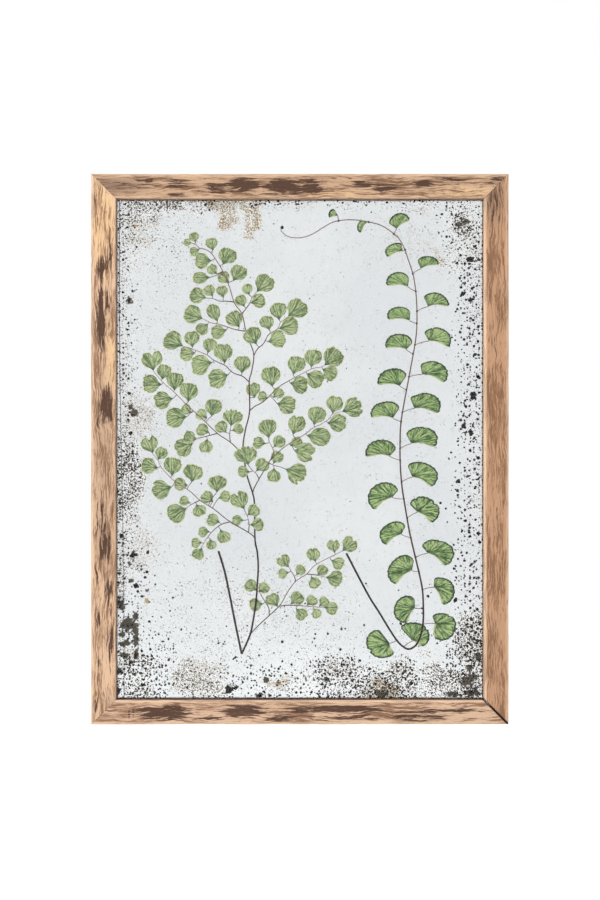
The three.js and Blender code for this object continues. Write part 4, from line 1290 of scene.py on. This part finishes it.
DOTS = [
    [-9, 36, -9, 36, 7, 0.85], [16, 42, 0, 48, 9, 0.3], [-9, 24, 36, 98, 7, 0.3],
    [76, 132, -9, 22, 8, 0.4], [142, 182, -9, 27, 6, 0.9], [180, 224, -9, 24, 6, 0.7],
    [246, 276, -9, 60, 7, 0.85], [248, 276, 60, 330, 6, 0.35], [66, 232, 362, 375, 2.5, 0.5],
    [36, 80, -9, 12, 6, 0.3], [-9, 12, 96, 375, 6, 0.25], [238, 276, 325, 375, 9, 0.3],
    [-9, 276, -9, 70, 20, 0.02],
]
GOLD_CRUMBS = [
    [75, 84, 344, 375, 4, 0.9], [92, 105, 337, 375, 4, 0.95], [66, 108, 354, 375, 6, 0.85],
    [52, 70, 357, 375, 8, 0.55], [9, 29, 333, 352, 5, 0.5], [116, 144, 357, 375, 5, 0.5],
    [234, 241, 318, 332, 3, 0.75], [216, 230, 348, 362, 6, 0.4], [194, 238, 322, 345, 10, 0.25],
    [40, 80, 3, 28, 8, 0.5], [112, 129, 5, 16, 4, 0.9], [185, 209, -9, 11, 4, 0.95],
    [8, 24, 95, 130, 8, 0.35], [7, 26, 190, 218, 7, 0.55], [225, 232, 29, 37, 3, 0.55],
    [200, 220, 14, 24, 5, 0.4], [3, 14, 26, 36, 4, 0.6], [150, 175, 14, 34, 6, 0.3],
    [250, 276, 20, 60, 7, 0.35],
]

# Bare dark places where the silver is gone: their [u, v] by their radius across and up
DARK_SPOTS = {
    (0.7, 0.7): [[161, 359.5], [186, 356], [198.5, 352]],
    (0.8, 0.7): [[177, 363.5]],
    (0.8, 0.8): [
        [165, 363], [155, 360.5], [164.3, 342.2], [222.5, 354.7], [234.3, 353.7], [235.8, 340.8],
        [241.8, 129], [107, 31], [91.5, 46.8], [136, 54], [141, 55.8],
    ],
    (0.9, 0.8): [[162, 364], [203, 363.5], [238, 354.5], [87, 30], [105.3, 33.3]],
    (0.9, 0.9): [[217.7, 358.8], [244.5, 180], [236.9, 143], [240.8, 139], [249.7, 102]],
    (1, 0.8): [[182.5, 361], [198, 363], [210, 362.5], [215.3, 364]],
    (1, 0.9): [[85.5, 28.7]],
    (1, 1): [
        [254.5, 308], [252, 301], [263.5, 302], [255.2, 292], [249.2, 285], [253.3, 282],
        [261, 277], [256.5, 271.5], [260.5, 266.5], [254, 263], [251.7, 203.7], [255.5, 195],
        [249.5, 188.2], [258.8, 181.3], [261.5, 180.3], [257, 175], [257, 162.5], [249.2, 152],
        [249.5, 148.8], [250.3, 140.5], [252.7, 135.8], [258, 127], [252.8, 122.3],
        [246.5, 112.6], [252.3, 106.7], [256.2, 106.3], [252.9, 104.3], [246.6, 95], [258.2, 94],
        [257.8, 83.5], [258.4, 78], [23.5, 56], [47.3, 50.5], [33.5, 41.5], [24.5, 36],
    ],
    (1.1, 1): [
        [260, 300], [264.3, 261.5], [253.8, 207], [251, 172.3], [257.7, 147.7], [257.8, 123],
        [259.5, 98],
    ],
    (1.1, 1.1): [[249, 318.7], [255, 167], [262, 100], [258.5, 88], [258.7, 71], [258.7, 66]],
    (1.2, 1): [[20.5, 88.5], [257.7, 315], [253.5, 304], [258.7, 278.2], [256.5, 259]],
    (1.2, 1.1): [[255.5, 213.5], [255, 130]],
    (1.2, 1.2): [
        [256.7, 244.5], [264.3, 235], [257.8, 230], [260.5, 200.3], [264, 164], [262.5, 155],
        [262.6, 131], [263.2, 84], [264, 65], [259.7, 58], [260, 52.5], [124, 18], [171, 18.5],
    ],
    (1.2, 1.4): [[22.5, 107], [264.5, 272], [264.7, 176], [265.5, 114]],
    (1.2, 1.6): [[9, 291]],
    (1.25, 1.25): [[163.8, 36]],
    (1.3, 1.2): [[262.5, 48]],
    (1.3, 1.3): [[9, 223], [264, 204.5]],
    (1.3, 1.4): [[264, 42]],
    (1.4, 1.2): [[22, 92.5], [262.3, 251.6], [112, 2], [119, 2], [177, 9]],
    (1.4, 1.4): [[132, 362]],
    (1.4, 2.2): [[1.2, 6.2]],
    (1.5, 0.8): [[173.5, 364]],
    (1.5, 2): [[3.5, 119], [247.5, 72]],
    (1.6, 1.4): [[10, 194], [18.5, 9.7], [215.5, 11]],
    (1.6, 1.6): [[10.5, 26.5]],
    (1.6, 2): [[13.5, 31], [250, 159]],
    (1.7, 1.6): [[253.3, 296.4], [253.8, 199.5]],
    (1.8, 1.4): [[264.5, 120.5]],
    (1.9, 1.6): [[86.8, 7.5]],
    (2, 1.2): [[3, 19]],
    (2, 2): [[14, 82.3]],
    (2, 2.5): [[259.3, 194.5]],
    (2.1, 2): [[258.8, 291.5]],
    (2.2, 3.6): [[261, 221.5]],
    (2.4, 1.8): [[104.8, 2.2]],
    (2.8, 3): [[81.5, 6]],
    (3, 1.8): [[12, 105]],
    (3.4, 2): [[258.5, 321.5]],
}

# Where the silver has gone to a solid grey-olive or a tan: [u, v, radius across, radius up]
OLIVE_STAINS = [
    [2.5, 69, 3.4, 5.5], [8, 54, 6.5, 5.5], [13.5, 60, 2.4, 3], [13.5, 49, 2.4, 3.6],
    [3.5, 46.5, 2.6, 2], [5.5, 40, 4.4, 2.8], [14, 42, 2.4, 4.6], [14, 33, 1.8, 4],
    [5, 31.5, 3.6, 2.2], [2, 20, 2.6, 2.4], [0.6, 5.5, 1.8, 5], [10, 26.5, 1.6, 1.6],
    [9, 291, 2, 2.6], [11, 290.5, 1.2, 1.6], [12.5, 209, 3.2, 2.6], [10, 213, 2, 2],
    [10, 86, 2.2, 1.6], [22, 79, 1.4, 1.4], [12, 105, 1.4, 3.4], [9, 99, 1.6, 1.6],
    [256.5, 12.5, 5.2, 4.4], [261, 15.5, 3.4, 3], [258, 22.8, 3.2, 2], [264, 31, 3, 4],
    [260, 4, 6, 2.4], [246, 3, 5, 2.2], [153.7, 13.4, 2.4, 2.8], [82, 6.6, 3, 3.2],
    [87, 8, 1.8, 1.8], [104.5, 2.4, 3, 2.2], [109, 13.6, 2.2, 2.2], [18.8, 9.8, 1.8, 1.4],
    [194, 3, 5, 2.4], [251, 347, 3.6, 1.6], [255.5, 349, 2.6, 2.2],
]
TAN_SPOTS = [
    [21.6, 71.2, 1.7, 2], [118, 10.5, 2.2, 1.8], [124.5, 12.5, 1.8, 1.8], [14, 346, 2, 1.2],
]


def graded(low, high, low_band, high_band, fine, coarse):
    """Places from low to high, close together in the bands at both ends."""
    return np.unique(np.concatenate([
        np.linspace(low, low_band, max(2, int((low_band - low) / fine)) + 1),
        np.linspace(low_band, high_band, int((high_band - low_band) / coarse) + 1),
        np.linspace(high_band, high, max(2, int((high - high_band) / fine)) + 1),
    ]))


def spot_field(rows, u, v, ragged):
    """How deep inside any of the spots each point lies: 1 in a middle, 0.5 on a rim."""
    total = np.zeros_like(u)
    for middle_u, middle_v, radius_u, radius_v in rows:
        near = (np.abs(u - middle_u) < 2.2 * radius_u) & (np.abs(v - middle_v) < 2.2 * radius_v)
        reach = np.hypot((u[near] - middle_u) / radius_u, (v[near] - middle_v) / radius_v)
        total[near] = np.maximum(total[near], 1 - 0.5 * reach + 0.2 * ragged[near])
    return np.clip(total, 0, 1)


def speck_field(rows, u, v, seed):
    """How densely specks lie at each point: in areas with soft and uneven edges."""
    def within(value, low, high, soft):
        over = smooth_step(low - soft, low + soft, value)
        return over * smooth_step(high + soft, high - soft, value)

    total = np.zeros_like(u)
    u = u + 5 * soft_noise(u / 13, v / 13, seed + 20) + 3.5 * soft_noise(u / 5, v / 5, seed + 60)
    v = v + 5 * soft_noise(u / 13, v / 13, seed + 40) + 3.5 * soft_noise(u / 5, v / 5, seed + 80)
    for left, right, low, high, soft, strength in rows:
        inside = within(u, left, right, soft) * within(v, low, high, soft)
        total = np.maximum(total, strength * inside)
    return total * (0.95 + 0.3 * soft_noise(u / 9, v / 9, seed))


# The grains of foxing: the scale of their noise, its detail, and how much harder they show
CRUMB_SIZES = ((0.64, 2.5, 0.0), (1.15, 1.5, 0.025))
GOLD_SIZES = ((0.95, 2.5, -0.02), (1.5, 1.5, 0.0))

# The round dots: how many per mm, and the smallest and largest radius as a share of their room
DOT_SIZES = ((0.46, 0.16, 0.34), (0.3, 0.14, 0.31))


def mirror_material():
    """Antiqued silvering, under crumbs, dots and stains of foxing, with a painted reflection of
    the left rail's edge as a thin dark line. The map is in mm.
    """
    made, tree = new_material("antiqued_mirror")
    flat = tree.surface_map()
    sway = tree.noise(flat, 0.9, 2.0, 0.6, 0.0, "Color")
    sway = tree.vector("MULTIPLY", tree.vector("SUBTRACT", sway, (0.5,) * 3), (1.5,) * 3)
    bent = tree.vector("ADD", flat, sway)
    clumps = tree.noise(flat, 0.15, 2.0, 0.5) - 0.5
    grains = tree.noise(flat, 0.8, 3.0, 0.65)

    def crumbs(field, shift, sizes):
        """Crumbs that cover more of the mirror where the field is stronger."""
        density = tree.highest(tree.field(field) + 0.5 * clumps, 0.0)
        level = 0.74 - 0.23 * tree.math("POWER", density, 0.7)
        place = tree.vector("ADD", bent, (shift, -shift, shift))
        grains_of_sizes = []
        for scale, detail, harder in sizes:
            over = tree.noise(place, scale, detail, 0.6) - level
            grains_of_sizes.append(tree.between(over, harder - 0.008, harder + 0.014))
        return tree.highest(*grains_of_sizes)

    def stain(field):
        return tree.between(tree.field(field) + 1.1 * (grains - 0.5), 0.47, 0.56)

    dark = crumbs("crumbs", 0.0, CRUMB_SIZES)
    gold = crumbs("gold", 40.0, GOLD_SIZES)
    olive = stain("olive")
    dots = tree.between(tree.field("dark_spots") + 0.4 * (grains - 0.5), 0.49, 0.56)
    for scale, smallest, largest in DOT_SIZES:
        away, own, other = tree.cells(tree.vector("ADD", bent, (9.0, 5.0, 0.0)), scale)
        there = tree.math("GREATER_THAN", tree.field("dots"), own)
        edge = tree.between(other, 0.0, 1.0, smallest, largest) - away
        dots = tree.highest(dots, there * tree.between(edge, -0.02, 0.03))

    # A painted reflection of the left rail's edge: a thin dark slanting line on the silver beside
    # the rail
    u, v, _ = tree.parts(bent)
    from_edge = abs(u - tree.between(v, 300.0, 40.0, 1.6, 5.1))
    rail_reflection_line = tree.between(from_edge, 0.5, 0.25, 0.0, tree.between(v, 0.0, 365.0, 0.45, 0.85))

    def grained(low, high, first, second):
        return tree.mix(tree.between(grains, low, high), first, second)

    cloud = tree.noise(flat, 0.012, 3.0, 0.5)
    cloudy = tree.between(cloud, 0.35, 0.65)
    silver = tree.mix(cloudy, colour(226, 230, 232), colour(233, 236, 237))
    whitened = tree.highest(tree.field("crumbs"), tree.field("gold"))
    look = tree.mix(tree.between(whitened, 0.1, 1.0), silver, colour(243, 243, 241))
    for share, shade in (
        (0.95 * gold, grained(0.4, 0.62, colour(120, 100, 60), colour(200, 170, 104))),
        (0.9 * stain("tan"), colour(178, 152, 112)),
        (dark, grained(0.35, 0.65, colour(38, 34, 31), colour(92, 82, 66))),
        (olive, grained(0.4, 0.7, colour(78, 72, 62), colour(104, 97, 82))),
        (dots, grained(0.4, 0.7, colour(20, 18, 17), colour(50, 44, 38))),
        # painted reflection of the left rail's edge
        (rail_reflection_line, colour(84, 90, 86)),
    ):
        look = tree.mix(share, look, shade)
    bare = tree.highest(dark, gold, olive, dots)
    tree.set(
        Base_Color=look,
        Metallic=tree.between(bare, 0.0, 1.0, 0.9, 0.0),
        Roughness=tree.between(bare, 0.0, 1.0, 0.13, 0.6),
        Specular_IOR_Level=0.05,
        Normal=tree.bump(1.0 - bare, 0.15, 0.00005),
    )
    return made


# Steps of the mirror's grid: fine near its edges, where most of the foxing is
MIRROR_FINE_STEP = 0.75
MIRROR_STEP = 1.9
MIRROR_STEP_UP = 0.95


def mirror_piece():
    """The mirror as one closed plate, whose front is a fine grid that carries the foxing."""
    left = SHEET_LEFT - MIRROR_LEFT
    right = SHEET_RIGHT - MIRROR_LEFT
    low = SHEET_LOW - MIRROR_LOW
    high = SHEET_HIGH - MIRROR_LOW
    across = graded(left, right, 26, VIEW_WIDTH - 32, MIRROR_FINE_STEP, MIRROR_STEP)
    up = graded(low, high, 34, VIEW_HEIGHT - 12, MIRROR_FINE_STEP, MIRROR_STEP_UP)
    u, v = (part.ravel() for part in np.meshgrid(across, up))
    count = len(u)
    rows, columns = len(up), len(across)
    ragged = soft_noise(u / 1.3, v / 1.3, 5)
    front = on_mirror(np.column_stack([u, v]), 0.0)
    back = front.copy()
    back[:, 1] = MIRROR_BACK
    rim = grid_rim(rows, columns)
    edge = list(range(count, count + len(rim)))
    sides = list(map(list, zip(rim, rim[1:] + rim[:1], edge[1:] + edge[:1], edge)))
    dark_spots = [
        [*place, *radii] for radii, places in DARK_SPOTS.items() for place in places
    ]
    fields = {
        "crumbs": speck_field(CRUMBS, u, v, 77),
        "dots": speck_field(DOTS, u, v, 78),
        "gold": speck_field(GOLD_CRUMBS, u, v, 79),
        "dark_spots": spot_field(dark_spots, u, v, ragged),
        "olive": spot_field(OLIVE_STAINS, u, v, ragged),
        "tan": spot_field(TAN_SPOTS, u, v, ragged),
    }
    build = Build(*fields)
    build.add(
        np.vstack([front, back[rim]]), grid_faces(rows, columns) + sides + [edge],
        np.pad(np.column_stack([u, v]), ((0, len(rim)), (0, 0))),
        **{name: np.pad(values, (0, len(rim))) for name, values in fields.items()},
    )
    return build.piece("mirror_foxed", [mirror_material()], "mirror", ["mirror_panel"])


# Glass, board and metal

def glass_material():
    """Coated picture glass, which reflects little."""
    made, tree = new_material("picture_glass")
    smears = tree.noise(tree.place(), 22.0, 4.0, 0.6)
    tree.set(
        Base_Color=(1.0, 1.0, 1.0, 1.0),
        Transmission_Weight=1.0,
        IOR=1.24,
        Roughness=tree.between(smears, 0.35, 0.75, 0.0, 0.012),
    )
    return made


WEAVE_PER_METRE = 3600.0


def board_material():
    """Brown hardboard: pressed fibres, a little mottled, with a fine weave."""
    made, tree = new_material("hardboard")
    place = tree.place()
    fibres = tree.noise(place, 900.0, 5.0, 0.7, 0.6)
    mottle = tree.noise(place, 30.0, 4.0, 0.6)
    x, _, z = (tree.math("SINE", part * WEAVE_PER_METRE) for part in tree.parts(place))
    shade = tree.mix(tree.between(mottle, 0.35, 0.7), colour(128, 92, 60), colour(150, 112, 76))
    shade = tree.mix(tree.between(fibres, 0.45, 0.7, 0.0, 0.5), shade, colour(92, 62, 38))
    tree.set(
        Base_Color=shade,
        Roughness=tree.between(fibres, 0.3, 0.7, 0.7, 0.9),
        Normal=tree.bump(0.4 * (x * z) + fibres, 0.5, 0.0002),
        Specular_IOR_Level=0.25,
    )
    return made


def metal_material(name, bright, dull):
    """Sheet metal with fine scratches and dull patches."""
    made, tree = new_material(name)
    place = tree.place()
    scratches = tree.noise(tree.scaled(place, 400.0, 400.0, 2600.0), 1.0, 3.0, 0.6)
    dulled = tree.noise(place, 260.0, 4.0, 0.6)
    tree.set(
        Base_Color=tree.mix(tree.between(dulled, 0.4, 0.7), bright, dull),
        Metallic=1.0,
        Roughness=tree.between(scratches + dulled, 0.7, 1.3, 0.26, 0.5),
        Normal=tree.bump(scratches, 0.15, 0.0001),
    )
    return made


POINT_BEVEL = 0.14
METAL_SHARP_DEGREES = 50


def framer_point(node, material):
    """A flat steel point with soft edges, pressed into the rabbet and pointing inward."""
    low, high = corners_of(node)
    middle = np.array([(low[0] + high[0]) / 2, (low[2] + high[2]) / 2])
    size = np.array([high[0] - low[0], high[2] - low[2]])
    upright = int(size[1] > size[0])
    toward = -np.sign(middle[upright] - (0, FRAME_MIDDLE)[upright])
    half_length = size[upright] / 2
    half_width = size[1 - upright] / 2
    shoulder = 0.2 * half_length
    tip = half_width / 3
    outline = np.array([
        [-half_length, -half_width], [shoulder, -half_width], [half_length, -tip],
        [half_length, tip], [shoulder, half_width], [-half_length, half_width],
    ])
    away = outline - outline.mean(axis=0)
    inset = outline - away * POINT_BEVEL / np.linalg.norm(away, axis=1)[:, None]
    levels = [
        (inset, low[1]), (outline, low[1] + POINT_BEVEL), (outline, high[1] - POINT_BEVEL),
        (inset, high[1]),
    ]
    points = np.zeros((len(levels), len(outline), 3))
    for level, (flat, y) in zip(points, levels):
        level[:, 2 * upright] = middle[upright] + toward * flat[:, 0]
        level[:, 2 - 2 * upright] = middle[1 - upright] + flat[:, 1]
        level[:, 1] = y
    metal_piece(f"{node}_steel", points, material, "steel", node)


def metal_piece(name, points, material, slot, node):
    """A closed metal piece from its closed rows of points."""
    build = Build()
    build.add(points, closed_faces(*points.shape[:2]), points[:, :, [0, 2]] / 10)
    return build.piece(name, [material], slot, [node], METAL_SHARP_DEGREES)


HANGER_TAB = 6.5
HANGER_RAMP = 2
HANGER_THICKNESS = 0.8
HANGER_TEETH = 9
HANGER_END_PLACES = 18
TOOTH_STEPS = 8
TOOTH_HEIGHT = 1.2
HANGER_BEVEL = 0.14


def hanger_piece(material):
    """The sawtooth hanger: a strip whose middle stands off the rail, with teeth below."""
    (left, _, low), (right, off, high) = corners_of("hanger_plate")
    half = (right - left) / 2
    stand_off = off - HANGER_THICKNESS
    crown = half - HANGER_TAB - HANGER_RAMP
    pitch = 2 * crown / HANGER_TEETH
    x = np.unique(np.round(np.concatenate([
        np.linspace(-half, -crown, HANGER_END_PLACES),
        np.linspace(-crown, crown, TOOTH_STEPS * HANGER_TEETH + 1),
        np.linspace(crown, half, HANGER_END_PLACES),
    ]), 4))
    lift = stand_off * smooth_step(half - HANGER_TAB, crown, np.abs(x))
    saw = 1 - 2 * np.abs(((x + crown) / pitch) % 1 - 0.5)
    bottom = low + TOOTH_HEIGHT * np.where(np.abs(x) < crown, saw, 0) * 0.98
    top = np.full_like(x, high)
    ring = [
        (bottom + HANGER_BEVEL, 0.0), (bottom, HANGER_BEVEL),
        (bottom, HANGER_THICKNESS - HANGER_BEVEL), (bottom + HANGER_BEVEL, HANGER_THICKNESS),
        (top - HANGER_BEVEL, HANGER_THICKNESS), (top, HANGER_THICKNESS - HANGER_BEVEL),
        (top, HANGER_BEVEL), (top - HANGER_BEVEL, 0.0),
    ]
    points = np.stack([np.stack([x, lift + height, z], axis=1) for z, height in ring], axis=1)
    return metal_piece("hanger_plate_brass", points, material, "brass", "hanger_plate")


NAIL_SIDES = 24
NAIL_SHANK = 0.39
NAIL_NECK = 0.93
NAIL_RIM = 0.12
NAIL_DOME_DEGREES = (15, 30, 45, 60, 75, 86)


def nail_piece(node, material):
    """A small nail with a domed head."""
    low, high = corners_of(node)
    radius = (high[0] - low[0]) / 2
    seat = HANGER_THICKNESS + 0.02
    rim = seat + NAIL_RIM
    dome = np.radians(NAIL_DOME_DEGREES)
    reach = radius * np.array([NAIL_SHANK, NAIL_SHANK, NAIL_NECK, 1, *np.cos(dome)])
    y = np.array([0, seat, seat, rim, *(rim + (high[1] - rim) * np.sin(dome))])
    angle = np.arange(NAIL_SIDES) * 2 * math.pi / NAIL_SIDES
    x = (low[0] + high[0]) / 2 + np.outer(reach, np.cos(angle))
    z = (low[2] + high[2]) / 2 + np.outer(reach, np.sin(angle))
    points = np.stack(np.broadcast_arrays(x, y[:, None], z), axis=2)
    return metal_piece(f"{node}_brass", points, material, "brass", node)


# The room: a plain pale floor, soft light and the camera

FLOOR_DROP = 140
FLOOR_SIZE = 6000
FLOOR_GLOW = 0.06


def floor():
    bpy.ops.mesh.primitive_plane_add(
        size=FLOOR_SIZE * MM, location=(0, 0, (FRAME_BOTTOM - FLOOR_DROP) * MM),
    )
    made = bpy.context.object
    made.name = "floor"
    material, tree = new_material("pale_floor")
    tree.set(
        Base_Color=(0.95, 0.95, 0.95, 1.0), Roughness=0.9,
        Emission_Color=(1.0, 1.0, 1.0, 1.0), Emission_Strength=FLOOR_GLOW,
    )
    made.data.materials.append(material)


def area_light(name, place, size, watts):
    """A soft square light that faces the frame's middle."""
    light = bpy.data.lights.new(name, "AREA")
    light.size = size * MM
    light.energy = watts
    made = bpy.data.objects.new(name, light)
    bpy.context.scene.collection.objects.link(made)
    made.location = [value * MM for value in place]
    aim = Vector((0, 0, FRAME_MIDDLE * MM))
    made.rotation_euler = (aim - made.location).to_track_quat("-Z", "Y").to_euler()


def lights():
    world = bpy.data.worlds.new("studio")
    bpy.context.scene.world = world
    world.use_nodes = True
    background = world.node_tree.nodes["Background"]
    background.inputs["Color"].default_value = (1.0, 1.0, 1.0, 1.0)
    background.inputs["Strength"].default_value = 1.0
    area_light("key", (-1300, -1300, 900), 900, 14)
    area_light("back_key", (900, 1300, 500), 900, 12)
    bpy.context.scene.view_settings.view_transform = "Standard"


# The photograph's view: straight on, its height is this many mm at the frame's front
PHOTO_HEIGHT_AT_FRONT = 655.9
CAMERA_SHIFT = 0.1
CAMERA_DROP = 0.6
LENS = 100
SENSOR = 36


def camera():
    data = bpy.data.cameras.new("camera")
    data.lens = LENS
    data.sensor_fit = "VERTICAL"
    data.sensor_height = SENSOR
    made = bpy.data.objects.new("camera", data)
    bpy.context.scene.collection.objects.link(made)
    distance = PHOTO_HEIGHT_AT_FRONT * LENS / SENSOR
    made.location = (
        CAMERA_SHIFT * MM, (FRAME_FRONT - distance) * MM, (FRAME_MIDDLE - CAMERA_DROP) * MM,
    )
    made.rotation_euler = (math.pi / 2, 0, 0)
    bpy.context.scene.camera = made


def dress(node, material):
    """Gives a node that stays as it is its material."""
    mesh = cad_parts[node].data
    mesh.materials.clear()
    mesh.materials.append(material)


camera()
lights()
floor()
for node, rail in RAILS.items():
    rail_piece(node, **rail)
mirror_piece()
dress("glass_pane", glass_material())
dress("backing_board", board_material())
steel = metal_material("sheet_steel", colour(196, 198, 200), colour(150, 150, 148))
for number in range(1, 9):
    framer_point(f"framer_point_{number}", steel)
brass = metal_material("brass_plate", colour(206, 168, 96), colour(150, 116, 62))
hanger_piece(brass)
for node in ("hanger_nail_1", "hanger_nail_2"):
    nail_piece(node, brass)
wiry = stem_material()
left_frond(leaf_material("left_leaf_green", "left"), wiry)
right_frond(leaf_material("right_leaf_green", "right"), wiry)
